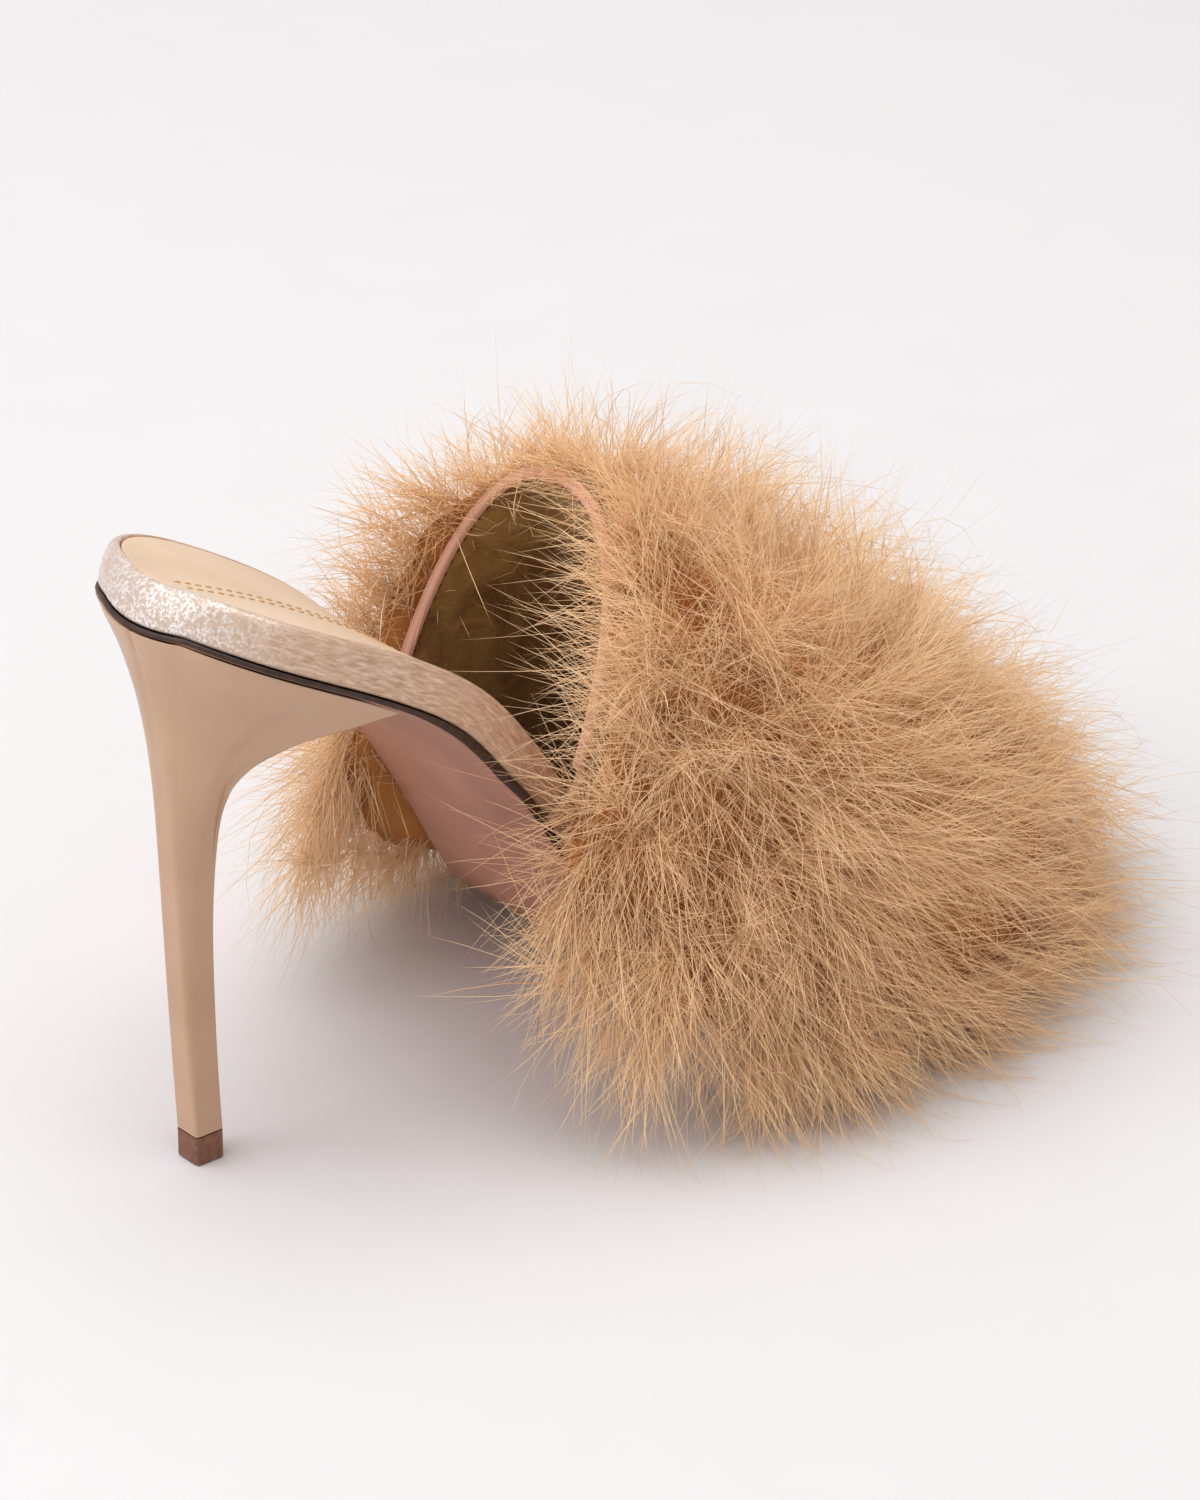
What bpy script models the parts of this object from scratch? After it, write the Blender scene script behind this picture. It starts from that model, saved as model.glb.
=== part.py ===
"""A high-heeled marabou mule for the right foot, standing on its heel tip and its forepart.

X runs towards the toe, Y towards the inner side of the foot and Z up. The origin is the middle of
the heel tip's face on the floor. The sole's pieces are drawn on the flat, by station along the sole
and distance across it, and are then bent over the last's side profile.
"""

import math

import bmesh
import bpy
import numpy as np

MM = 0.001
GAP = 0.3 * MM

# The last: its side profile, from the back of the seat to the toe.
SEAT_BACK = -11.5 * MM
SEAT_HEIGHT = 104.6 * MM
TREAD_BACK = 112.0 * MM
TREAD_FRONT = 150.0 * MM
TOE_REACH = 190.0 * MM
TOE_SPRING = 6.5 * MM
SEAT_DISH = 1.5 * MM

# The last: its outline.
SEAT_WIDTH = 56.0 * MM
WAIST_WIDTH = 45.6 * MM
BALL_WIDTH = 78.4 * MM
SEAT_ROUND = 27.0 * MM
TOE_ROUND = 46.0 * MM
TOE_DRIFT = 11.0 * MM

# The layers of the sole.
SEAT_SOLE = 1.0 * MM
FORE_SOLE = 1.9 * MM
SEAT_RAND = 7.8 * MM
FORE_RAND = 5.2 * MM
RAND_BULGE = 0.3 * MM
RAND_LIP = 1.7 * MM
SOCK_THICKNESS = 0.8 * MM

# The heel.
TIP_SIDE = 5.9 * MM
TIP_HEIGHT = 5.5 * MM
HEEL_SET_IN = 0.5 * MM
WING_STATION = 39.0 * MM
BREAST_STATION = 24.0 * MM
STEM_LEAN = 1.0 * MM

# The upper.
VAMP_WALL = 1.6 * MM
VAMP_CLEARANCE = 0.5 * MM
VAMP_BACK_STATION = 86.0 * MM
VAMP_FRONT_STATION = 210.0 * MM
THROAT_X = 84.5 * MM
THROAT_Z = 101.0 * MM
VAMP_END_X = 158.0 * MM
VAMP_END_Z = 36.0 * MM
CROWN_SHIFT = 3.0 * MM
CROWN_FULLNESS = 2.3
BINDING_HEIGHT = 1.3 * MM
BINDING_LAP = 0.35 * MM

# The marabou.
FUR_BACK_X = 70.0 * MM
FUR_FRONT_X = 194.0 * MM
FUR_TOP = 108.0 * MM
FUR_OUTER_SIDE = 68.0 * MM
FUR_INNER_SIDE = 60.0 * MM
FUR_GAP = 0.7 * MM
FUR_SET_IN = 2.0 * MM
FUR_OFF_FLOOR = 2.5 * MM
LOCK_LENGTH = 6.0 * MM
LOCK_DROOP = 2.5 * MM
LOCK_SEED = 7

CAP_STEPS = 8
BODY_STEPS = 20
FILL_COLUMNS = 5
SIDE_STEPS = 3
ARCH_STEPS = 22
VAMP_STEPS = 16
HOOD_STEPS = 4
HEEL_STEPS = 24

# Side profile behind the tread: run from the seat's back to the tread, and height under the seat.
SHANK_PROFILE = (
    # run, height
    (0.000, 1.000),
    (0.077, 0.959),
    (0.158, 0.914),
    (0.239, 0.862),
    (0.320, 0.801),
    (0.385, 0.738),
    (0.449, 0.658),
    (0.514, 0.560),
    (0.579, 0.444),
    (0.644, 0.321),
    (0.709, 0.208),
    (0.773, 0.117),
    (0.838, 0.056),
    (0.911, 0.018),
    (0.968, 0.003),
    (1.000, 0.000),
)

# Outline by station: how much of each named width it takes, and how far it drifts to the inner side.
OUTLINE = (
    # station, seat, waist, ball, drift
    (0.000, 0.50, 0.00, 0.00, 0.00),
    (0.113, 0.50, 0.00, 0.00, 0.00),
    (0.180, 0.33, 0.19, 0.00, 0.00),
    (0.250, 0.12, 0.40, 0.00, 0.00),
    (0.340, 0.00, 0.50, 0.00, 0.05),
    (0.420, 0.00, 0.48, 0.015, 0.07),
    (0.504, 0.00, 0.24, 0.20, 0.09),
    (0.585, 0.00, 0.06, 0.386, 0.14),
    (0.645, 0.00, 0.00, 0.474, 0.19),
    (0.700, 0.00, 0.00, 0.500, 0.27),
    (0.758, 0.00, 0.00, 0.489, 0.39),
    (0.830, 0.00, 0.00, 0.427, 0.62),
    (0.911, 0.00, 0.00, 0.363, 0.86),
    (1.000, 0.00, 0.00, 0.319, 1.00),
)

# How the sole's layers and its dish fade along it, from the seat's values to the forepart's.
LAYERS = (
    # station, sole, rand, dish
    (0.00, 0.0, 0.00, 1.0),
    (0.15, 0.0, 0.00, 1.0),
    (0.25, 0.9, 0.05, 0.9),
    (0.34, 1.0, 0.20, 0.7),
    (0.50, 1.0, 0.80, 0.2),
    (0.58, 1.0, 1.00, 0.0),
    (1.00, 1.0, 1.00, 0.0),
)

# The heel, from the seat down to the tip: drops of its back and of its front corners, and how far
# the back, the corners, the sides and the breast have come from the seat's outline to the stem's.
HEEL_FLARE = (
    # back drop, corner drop, back, corner, side, breast
    (0.000, 0.000, 0.00, 0.00, 0.00, 0.00),
    (0.034, 0.022, 0.13, 0.25, 0.13, 0.42),
    (0.074, 0.050, 0.28, 0.52, 0.33, 0.68),
    (0.120, 0.083, 0.41, 0.70, 0.50, 0.86),
    (0.180, 0.131, 0.55, 0.89, 0.67, 0.98),
    (0.257, 0.197, 0.69, 1.01, 0.79, 1.05),
    (0.348, 0.280, 0.78, 1.03, 0.89, 1.05),
    (0.465, 0.398, 0.84, 1.03, 0.95, 1.04),
    (0.643, 0.589, 0.90, 1.02, 0.99, 1.02),
    (1.000, 1.000, 1.00, 1.00, 1.00, 1.00),
)

# The vamp's crown line and its feet, from the throat to the toe opening.
VAMP_ROWS = (
    # crown run, crown height, foot station
    (0.000, 1.000, 0.00),
    (0.100, 0.840, 0.09),
    (0.210, 0.680, 0.18),
    (0.310, 0.535, 0.28),
    (0.415, 0.405, 0.38),
    (0.520, 0.300, 0.48),
    (0.620, 0.215, 0.58),
    (0.720, 0.140, 0.69),
    (0.820, 0.077, 0.80),
    (0.910, 0.030, 0.90),
    (1.000, 0.000, 1.00),
)

# The hollow under the marabou in front of the vamp, in the same shares.
TOE_HOOD = (
    # crown run, crown height, foot station
    (1.00, 0.00, 1.00),
    (1.09, -0.03, 1.09),
    (1.18, -0.09, 1.17),
    (1.26, -0.17, 1.24),
)

# The marabou's outside: places between its named ends, heights of its sides and crown as shares of
# its top, how full its sides are and how far it hangs towards the floor.
FUR_ROWS = (
    # side run, crown run, side height, crown height, fullness, hang
    (-0.070, 0.140, 0.620, 0.985, 0.52, 0.16),
    (-0.065, 0.165, 0.560, 1.010, 0.66, 0.40),
    (-0.035, 0.215, 0.450, 1.020, 0.82, 0.72),
    (0.050, 0.300, 0.340, 1.010, 0.92, 0.95),
    (0.160, 0.375, 0.270, 0.985, 0.98, 1.00),
    (0.280, 0.450, 0.240, 0.940, 1.00, 1.00),
    (0.400, 0.535, 0.225, 0.875, 1.00, 1.00),
    (0.520, 0.625, 0.215, 0.795, 0.98, 1.00),
    (0.630, 0.715, 0.205, 0.700, 0.93, 1.00),
    (0.740, 0.800, 0.195, 0.595, 0.84, 1.00),
    (0.840, 0.875, 0.185, 0.480, 0.71, 1.00),
    (0.920, 0.935, 0.170, 0.370, 0.58, 1.00),
    (0.975, 0.980, 0.150, 0.275, 0.46, 0.95),
    (1.000, 1.000, 0.140, 0.225, 0.38, 0.80),
)


def smooth_curve(rows, column):
    """A function through one column of a table, with no overshoot between its rows."""
    places = np.array([row[0] for row in rows])
    values = np.array([row[column] for row in rows])
    steps = np.diff(places)
    slopes = np.diff(values) / steps
    ends = np.zeros(len(rows))
    same_way = slopes[:-1] * slopes[1:] > 0
    weights = 2 * steps[1:] + steps[:-1], steps[1:] + 2 * steps[:-1]
    inner = np.zeros(len(slopes) - 1)
    total = weights[0] + weights[1]
    inner[same_way] = (
        total[same_way]
        / (weights[0][same_way] / slopes[:-1][same_way] + weights[1][same_way] / slopes[1:][same_way])
    )
    ends[1:-1] = inner
    ends[0], ends[-1] = slopes[0], slopes[-1]

    def at(place):
        place = np.clip(np.asarray(place, float), places[0], places[-1])
        i = np.clip(np.searchsorted(places, place, side="right") - 1, 0, len(steps) - 1)
        t = (place - places[i]) / steps[i]
        rise = values[i] * (1 + 2 * t) * (1 - t) ** 2 + values[i + 1] * t**2 * (3 - 2 * t)
        return rise + steps[i] * (ends[i] * t * (1 - t) ** 2 - ends[i + 1] * t**2 * (1 - t))

    return at


def side_profile():
    """The last's bottom line as finely spaced points, with their stations and directions."""
    shank = np.linspace(0, 1, 400)
    height = smooth_curve(SHANK_PROFILE, 1)
    tread = np.linspace(TREAD_BACK, TREAD_FRONT, 40)[1:]
    toe = np.linspace(TREAD_FRONT, TOE_REACH, 60)[1:]
    lift = (toe - TREAD_FRONT) / (TOE_REACH - TREAD_FRONT)
    x = np.concatenate([SEAT_BACK + shank * (TREAD_BACK - SEAT_BACK), tread, toe])
    z = np.concatenate([SEAT_HEIGHT * height(shank), 0 * tread, TOE_SPRING * lift**2])
    station = np.concatenate([[0], np.cumsum(np.hypot(np.diff(x), np.diff(z)))])
    return x, z, station, np.gradient(x, station), np.gradient(z, station)


PROFILE_X, PROFILE_Z, PROFILE_STATION, ALONG_X, ALONG_Z = side_profile()
SOLE_LENGTH = PROFILE_STATION[-1]


def share(station):
    return np.asarray(station, float) / SOLE_LENGTH


def half_width(station):
    take = [smooth_curve(OUTLINE, column)(share(station)) for column in (1, 2, 3)]
    body = take[0] * SEAT_WIDTH + take[1] * WAIST_WIDTH + take[2] * BALL_WIDTH
    back = np.clip(1 - station / SEAT_ROUND, 0, 1)
    front = np.clip(1 - (SOLE_LENGTH - station) / TOE_ROUND, 0, 1)
    return body * np.sqrt(1 - back**2) * np.sqrt(1 - front**2)


def middle(station):
    return TOE_DRIFT * smooth_curve(OUTLINE, 4)(share(station))


def layer(station, column, seat, fore):
    take = smooth_curve(LAYERS, column)(share(station))
    return seat + (fore - seat) * take


def sole_top(station):
    return layer(station, 1, SEAT_SOLE, FORE_SOLE)


def rand_bottom(station):
    return sole_top(station) + GAP


def rand_top(station):
    return rand_bottom(station) + layer(station, 2, SEAT_RAND, FORE_RAND)


def on_sole(station, across, height):
    """Bends a point of the flat pattern over the last: its station, its distance across, its height."""
    station, across, height = np.broadcast_arrays(
        np.asarray(station, float), np.asarray(across, float), np.asarray(height, float)
    )
    along_x = np.interp(station, PROFILE_STATION, ALONG_X)
    along_z = np.interp(station, PROFILE_STATION, ALONG_Z)
    over = station - np.clip(station, 0, SOLE_LENGTH)
    wide = np.maximum(half_width(np.clip(station, 0, SOLE_LENGTH)), 0.25 * WAIST_WIDTH)
    dish = SEAT_DISH * smooth_curve(LAYERS, 3)(share(station))
    lift = height + dish * ((across - middle(station)) / wide) ** 2
    x = np.interp(station, PROFILE_STATION, PROFILE_X) + over * along_x - along_z * lift
    z = np.interp(station, PROFILE_STATION, PROFILE_Z) + over * along_z + along_x * lift
    return np.stack([x, across, z], axis=-1)


def outline_stations():
    turn = 1 - np.cos(np.linspace(0, math.pi / 2, CAP_STEPS + 1))
    body = np.linspace(SEAT_ROUND, SOLE_LENGTH - TOE_ROUND, BODY_STEPS + 1)[1:-1]
    return np.concatenate([SEAT_ROUND * turn, body, SOLE_LENGTH - TOE_ROUND * turn[::-1]])


def outline_loop():
    """The flat outline, back point first and then round by the outer side, and its inward directions."""
    stations = outline_stations()
    outer = np.stack([stations, middle(stations) - half_width(stations)], axis=-1)
    inner = np.stack([stations, middle(stations) + half_width(stations)], axis=-1)
    loop = np.concatenate([outer, inner[-2:0:-1]])
    ahead = np.roll(loop, -1, axis=0) - np.roll(loop, 1, axis=0)
    ahead /= np.linalg.norm(ahead, axis=1, keepdims=True)
    return loop, np.stack([-ahead[:, 1], ahead[:, 0]], axis=-1)


OUTLINE_LOOP, INWARD = outline_loop()


def edge_at(station, inset, side):
    """The across position of the outline, moved in by an inset, at a station of one side."""
    return middle(station) + side * (half_width(station) - inset)


class Skin:
    """Collects points and faces, and makes them one closed mesh object."""

    def __init__(self):
        self.points = []
        self.faces = []

    def add(self, rows):
        """Adds an array of points and returns their numbers in the same layout."""
        rows = np.asarray(rows, float)
        first = len(self.points)
        self.points.extend(rows.reshape(-1, 3).tolist())
        return first + np.arange(rows.size // 3).reshape(rows.shape[:-1])

    def quads(self, grid, around=False):
        """Faces between the neighbouring rows of a layout of point numbers."""
        for upper, lower in zip(grid[:-1], grid[1:]):
            columns = range(len(upper) if around else len(upper) - 1)
            for k in columns:
                after = (k + 1) % len(upper)
                corners = [upper[k], lower[k], lower[after], upper[after]]
                kept = [int(c) for i, c in enumerate(corners) if c != corners[i - 1]]
                if len(set(kept)) > 2:
                    self.faces.append(kept)

    def make(self, name, material, sharp=40):
        mesh = bpy.data.meshes.new(name)
        mesh.from_pydata(self.points, [], self.faces)
        body = bmesh.new()
        body.from_mesh(mesh)
        loose = [point for point in body.verts if not point.link_faces]
        bmesh.ops.delete(body, geom=loose, context="VERTS")
        bmesh.ops.triangulate(body, faces=body.faces[:])
        bmesh.ops.recalc_face_normals(body, faces=body.faces[:])
        body.to_mesh(mesh)
        body.free()
        mesh.materials.append(material)
        mesh.shade_smooth()
        mesh.set_sharp_from_angle(angle=math.radians(sharp))
        made = bpy.data.objects.new(name, mesh)
        bpy.context.collection.objects.link(made)
        return made


def sheet_solid(name, rings, material):
    """A layer of the sole: rings of the outline from its underside to its top, both filled in."""
    skin = Skin()
    flat = [(OUTLINE_LOOP + INWARD * np.reshape(inset, (-1, 1)), height) for inset, height in rings]
    numbers = [skin.add(on_sole(at[:, 0], at[:, 1], height(at[:, 0]))) for at, height in flat]
    skin.quads(np.array(numbers), around=True)
    tip = len(OUTLINE_LOOP) // 2
    for (at, height), ring in ((flat[0], numbers[0]), (flat[-1], numbers[-1])):
        outer = at[: tip + 1]
        inner = np.concatenate([at[:1], at[:tip - 1:-1]])
        rows = [np.full(FILL_COLUMNS + 2, ring[0])]
        for i in range(1, tip):
            part = np.linspace(0, 1, FILL_COLUMNS + 2)[1:-1, None]
            between = outer[i] + (inner[i] - outer[i]) * part
            filled = skin.add(on_sole(between[:, 0], between[:, 1], height(between[:, 0])))
            rows.append(np.concatenate([[ring[i]], filled, [ring[len(ring) - i]]]))
        rows.append(np.full(FILL_COLUMNS + 2, ring[tip]))
        skin.quads(np.array(rows))
    return skin.make(name, material)


def vamp_spread(station):
    """How far the outsole widens to lie under the vamp's lower edge."""
    ease = 8 * MM
    back = np.clip((station - VAMP_BACK_STATION + 2 * ease) / ease, 0, 1)
    front = np.clip((VAMP_FRONT_STATION + 2 * ease - station) / ease, 0, 1)
    rise = back * back * (3 - 2 * back) * front * front * (3 - 2 * front)
    return (VAMP_CLEARANCE + RAND_BULGE + VAMP_WALL) * rise


def make_outsole(material):
    spread = vamp_spread(OUTLINE_LOOP[:, 0])
    rings = (
        (0.6 * MM - spread, lambda s: 0 * s),
        (0.15 * MM - spread, lambda s: 0.12 * sole_top(s)),
        (-spread, lambda s: 0.4 * sole_top(s)),
        (-spread, lambda s: 0.75 * sole_top(s)),
        (0.15 * MM - spread, sole_top),
    )
    return sheet_solid("outsole", rings, material)


def make_platform(material):
    recess = SOCK_THICKNESS + GAP
    rings = (
        (0.5 * MM, rand_bottom),
        (0.05 * MM, lambda s: rand_bottom(s) + 0.5 * MM),
        (-RAND_BULGE, lambda s: 0.5 * (rand_bottom(s) + rand_top(s))),
        (0.0, lambda s: rand_top(s) - 1.7 * MM),
        (0.35 * MM, lambda s: rand_top(s) - 0.8 * MM),
        (0.9 * MM, lambda s: rand_top(s) - 0.25 * MM),
        (RAND_LIP - 0.2 * MM, rand_top),
        (RAND_LIP, lambda s: rand_top(s) - 0.2 * MM),
        (RAND_LIP, lambda s: rand_top(s) - recess),
    )
    return sheet_solid("insole_platform", rings, material)


def make_sock(material):
    reach = RAND_LIP + GAP
    rings = (
        (reach + 0.1 * MM, lambda s: rand_top(s) - SOCK_THICKNESS),
        (reach, lambda s: rand_top(s) - 0.6 * SOCK_THICKNESS),
        (reach + 0.1 * MM, lambda s: rand_top(s) - 0.2 * SOCK_THICKNESS),
        (reach + 0.4 * MM, rand_top),
    )
    return sheet_solid("sock_lining", rings, material)


def rounded_square(angle, side):
    """A point of a square with tight rounded corners, by its direction from the middle."""
    tight = 0.2
    c, s = np.cos(angle), np.sin(angle)
    return side / 2 * np.stack([np.sign(c) * abs(c) ** tight, np.sign(s) * abs(s) ** tight], axis=-1)


def make_heel(material):
    """The seat with its two wings, flaring down into a slim square stem."""
    round_back = np.linspace(0, 1, HEEL_STEPS + 1)
    turn = 1 - np.abs(2 * round_back - 1)
    side = np.where(round_back < 0.5, -1, 1)
    station = WING_STATION * (1 - np.sin(turn * math.pi / 2) ** 1.2)
    wall = np.stack([station, edge_at(station, HEEL_SET_IN, side)], axis=-1)
    wall[HEEL_STEPS // 2] = (HEEL_SET_IN, middle(0.0))
    across = np.linspace(wall[0, 1], wall[-1, 1], HEEL_STEPS + 1)
    to_side = np.abs(across) / np.abs(wall[0, 1])
    breast_station = BREAST_STATION + (WING_STATION - BREAST_STATION) * to_side**2.2
    breast = np.stack([breast_station, across], axis=-1)
    wall_top = on_sole(wall[:, 0], wall[:, 1], -GAP)
    breast_top = on_sole(breast[:, 0], breast[:, 1], -GAP)
    foot = TIP_HEIGHT + GAP
    behind = rounded_square(-math.pi / 4 - round_back * 1.5 * math.pi, TIP_SIDE)
    ahead = rounded_square((round_back - 0.5) * math.pi / 2, TIP_SIDE)

    skin = Skin()
    walls, breasts = [], []
    for back_drop, corner_drop, back, corner, sides, breast_in in HEEL_FLARE:
        drop = corner_drop + (back_drop - corner_drop) * np.sin(turn * math.pi / 2)
        along = corner + (back - corner) * np.sin(turn * math.pi / 2)
        lean = STEM_LEAN * drop * (1 - drop) * 4
        x = wall_top[:, 0] + (behind[:, 0] - wall_top[:, 0]) * along - lean
        y = wall_top[:, 1] + (behind[:, 1] - wall_top[:, 1]) * sides
        z = wall_top[:, 2] + (foot - wall_top[:, 2]) * drop
        walls.append(np.stack([x, y, z], axis=-1))
        to_corner = to_side**2.2
        inward = breast_in + (corner - breast_in) * to_corner
        lean = STEM_LEAN * corner_drop * (1 - corner_drop) * 4
        x = breast_top[:, 0] + (ahead[:, 0] - breast_top[:, 0]) * inward - lean
        y = breast_top[:, 1] + (ahead[:, 1] - breast_top[:, 1]) * sides
        z = breast_top[:, 2] + (foot - breast_top[:, 2]) * corner_drop
        breasts.append(np.stack([x, y, z], axis=-1))
        breasts[-1][[0, -1]] = walls[-1][[0, -1]]
    wall_numbers = np.array([skin.add(row) for row in walls])
    breast_numbers = np.array([skin.add(row) for row in breasts])
    breast_numbers[:, 0] = wall_numbers[:, 0]
    breast_numbers[:, -1] = wall_numbers[:, -1]
    skin.quads(wall_numbers)
    skin.quads(breast_numbers)
    cap = [wall_numbers[0]]
    for part in np.linspace(0, 1, FILL_COLUMNS)[1:-1]:
        between = wall + (breast - wall) * part
        row = skin.add(on_sole(between[:, 0], between[:, 1], -GAP))
        row[0], row[-1] = wall_numbers[0, 0], wall_numbers[0, -1]
        cap.append(row)
    cap.append(breast_numbers[0])
    skin.quads(np.array(cap))
    skin.quads(np.array([wall_numbers[-1], breast_numbers[-1]]))
    return skin.make("heel", material, sharp=50)


def make_heel_tip(material):
    angles = np.linspace(0, 2 * math.pi, 32, endpoint=False)
    chamfer = 0.35 * MM
    levels = ((chamfer, 0.0), (0.0, chamfer), (0.0, TIP_HEIGHT))
    skin = Skin()
    rings = []
    for inset, z in levels:
        at = rounded_square(angles, TIP_SIDE - 2 * inset)
        rings.append(skin.add(np.column_stack([at, np.full(len(at), z)])))
    skin.quads(np.array(rings), around=True)
    skin.faces.append([int(n) for n in rings[0]])
    skin.faces.append([int(n) for n in rings[-1]])
    return skin.make("heel_top_piece", material)


def vamp_arch(crown_run, crown_height, foot_run, clearance):
    """One section of the space over the foot, from the outer foot of the vamp to its inner foot."""
    station = VAMP_BACK_STATION + foot_run * (VAMP_FRONT_STATION - VAMP_BACK_STATION)
    inset = -(RAND_BULGE + VAMP_CLEARANCE + clearance)
    low, high = rand_bottom(station), rand_top(station)
    heights = np.linspace(low, high, SIDE_STEPS + 1)
    feet = [on_sole(station, edge_at(station, inset, side), heights) for side in (-1, 1)]
    crown = np.array([
        THROAT_X + crown_run * (VAMP_END_X - THROAT_X),
        middle(station) + CROWN_SHIFT,
        VAMP_END_Z + crown_height * (THROAT_Z - VAMP_END_Z),
    ])
    base = 0.5 * (feet[0][-1] + feet[1][-1])
    power = 2 / CROWN_FULLNESS
    angle = np.linspace(0, math.pi, ARCH_STEPS + 1)[1:-1]
    c, s = np.cos(angle), np.sin(angle)
    spread = (np.abs(c) ** power)[:, None]
    to_side = np.where((c > 0)[:, None], feet[0][-1] - base, feet[1][-1] - base)
    arch = base + spread * to_side + (s**power)[:, None] * (crown - base)
    return np.concatenate([feet[0], arch, feet[1][::-1]])


def surface_normals(grid):
    along = np.gradient(grid, axis=0)
    across = np.gradient(grid, axis=1)
    normal = np.cross(across, along)
    return normal / np.linalg.norm(normal, axis=-1, keepdims=True)


def even_rows(rows, count):
    """Rows at even steps of a table's first column, read from its smooth curves."""
    first = np.linspace(rows[0][0], rows[-1][0], count + 1)
    return np.column_stack([first] + [smooth_curve(rows, k)(first) for k in range(1, len(rows[0]))])


def vamp_surfaces():
    inner = np.array([vamp_arch(*row, 0.0) for row in even_rows(VAMP_ROWS, VAMP_STEPS)])
    normal = surface_normals(inner)
    if normal[0, inner.shape[1] // 2, 2] < 0:
        normal = -normal
    return inner, normal


def shell(name, inside, outside, material, sharp=40):
    """Closes two facing layouts of points into one wall, with rims on its four edges."""
    skin = Skin()
    near, far = skin.add(inside), skin.add(outside)
    skin.quads(near)
    skin.quads(far)
    for edge in (0, -1):
        skin.quads(np.array([near[edge], far[edge]]))
        skin.quads(np.array([near[:, edge], far[:, edge]]))
    return skin.make(name, material, sharp)


def make_vamp(material):
    inner, normal = vamp_surfaces()
    return shell("vamp", inner, inner + VAMP_WALL * normal, material)


def make_binding(material):
    """A thin folded strip standing on the vamp's topline, from one side of the insole to the other."""
    inner, normal = vamp_surfaces()
    first, last = SIDE_STEPS + 1, inner.shape[1] - SIDE_STEPS - 1
    edge = inner[0, first:last] + 0.5 * VAMP_WALL * normal[0, first:last]
    out = normal[0, first:last]
    back = inner[0, first:last] - inner[1, first:last]
    back -= out * np.sum(back * out, axis=1, keepdims=True)
    run = np.gradient(edge, axis=0)
    run /= np.linalg.norm(run, axis=1, keepdims=True)
    back -= run * np.sum(back * run, axis=1, keepdims=True)
    back /= np.linalg.norm(back, axis=1, keepdims=True)
    half = 0.5 * VAMP_WALL + BINDING_LAP
    section = (
        (-half, 0.0),
        (-half, 0.6),
        (-0.6 * half, 1.0),
        (0.6 * half, 1.0),
        (half, 0.6),
        (half, 0.0),
    )
    skin = Skin()
    rows = np.stack([
        edge + out * sideways + back * (GAP + rise * BINDING_HEIGHT) for sideways, rise in section
    ], axis=1)
    rings = skin.add(rows)
    skin.quads(rings, around=True)
    skin.faces.append([int(n) for n in rings[0]])
    skin.faces.append([int(n) for n in rings[-1]])
    return skin.make("topline_binding", material)


def fur_lining():
    """The marabou's inside: just off the vamp, and on over the toe as a hood."""
    inner, normal = vamp_surfaces()
    over_vamp = inner + (VAMP_WALL + FUR_GAP) * normal
    inwards = over_vamp[1] - over_vamp[0]
    over_vamp[0] += FUR_SET_IN * inwards / np.linalg.norm(inwards, axis=1, keepdims=True)
    hood_rows = even_rows(TOE_HOOD, HOOD_STEPS)[1:]
    hood = np.array([vamp_arch(*row, VAMP_WALL + FUR_GAP) for row in hood_rows])
    return np.concatenate([over_vamp, hood])


def fur_outside():
    """The marabou's outside as arches that hang at both sides towards the floor."""
    columns = SIDE_STEPS + 1
    span = FUR_FRONT_X - FUR_BACK_X
    power = 2 / 2.2
    angle = np.linspace(0, math.pi, ARCH_STEPS + 1)[1:-1]
    c, s = np.cos(angle), np.sin(angle)
    rows = []
    numbered = [(place, *row) for place, row in enumerate(FUR_ROWS)]
    for _, side_run, crown_run, side_height, crown_height, fullness, hang in even_rows(
        numbered, VAMP_STEPS + HOOD_STEPS
    ):
        side_x = FUR_BACK_X + side_run * span
        crown_x = FUR_BACK_X + crown_run * span
        side_z = side_height * FUR_TOP
        y = TOE_DRIFT * np.clip(side_run, 0, 1)
        wide = {-1: FUR_OUTER_SIDE * fullness, 1: FUR_INNER_SIDE * fullness}
        low = side_z + (FUR_OFF_FLOOR - side_z) * hang
        drops = np.linspace(0, 1, columns)
        sides = []
        for side in (-1, 1):
            reach = wide[side] * (1 - 0.16 * (1 - drops) ** 2)
            height = low + (side_z - low) * drops
            sides.append(np.stack([np.full(columns, side_x), y + side * reach, height], axis=-1))
        base = np.array([side_x, y, side_z])
        crown = np.array([crown_x, y, crown_height * FUR_TOP])
        across = np.where(c > 0, -wide[-1], wide[1]) * np.abs(c) ** power
        arch = base + np.outer(across, (0, 1, 0)) + np.outer(s**power, crown - base)
        rows.append(np.concatenate([sides[0], arch, sides[1][::-1]]))
    return np.array(rows)


def with_locks(grid, normal):
    """Raises every third point of a layout into a drooping lock."""
    rng = np.random.default_rng(LOCK_SEED)
    length = LOCK_LENGTH * (0.8 + 0.5 * rng.random(grid.shape[:2]))
    row, column = np.indices(grid.shape[:2])
    raised = ((row + 2 * column) % 3 == 0)[..., None]
    tip = grid + normal * length[..., None] - np.array([0, 0, LOCK_DROOP])
    locked = np.where(raised, tip, grid)
    locked[..., 2] = np.maximum(locked[..., 2], FUR_OFF_FLOOR)
    return locked


def make_marabou(material):
    """The soft mass of plumes over the vamp, its locks fused on."""
    inside = fur_lining()
    outside = fur_outside()
    normal = surface_normals(outside)
    if normal[len(normal) // 2, outside.shape[1] // 2, 2] < 0:
        normal = -normal
    return shell("marabou", inside, with_locks(outside, normal), material)


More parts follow.
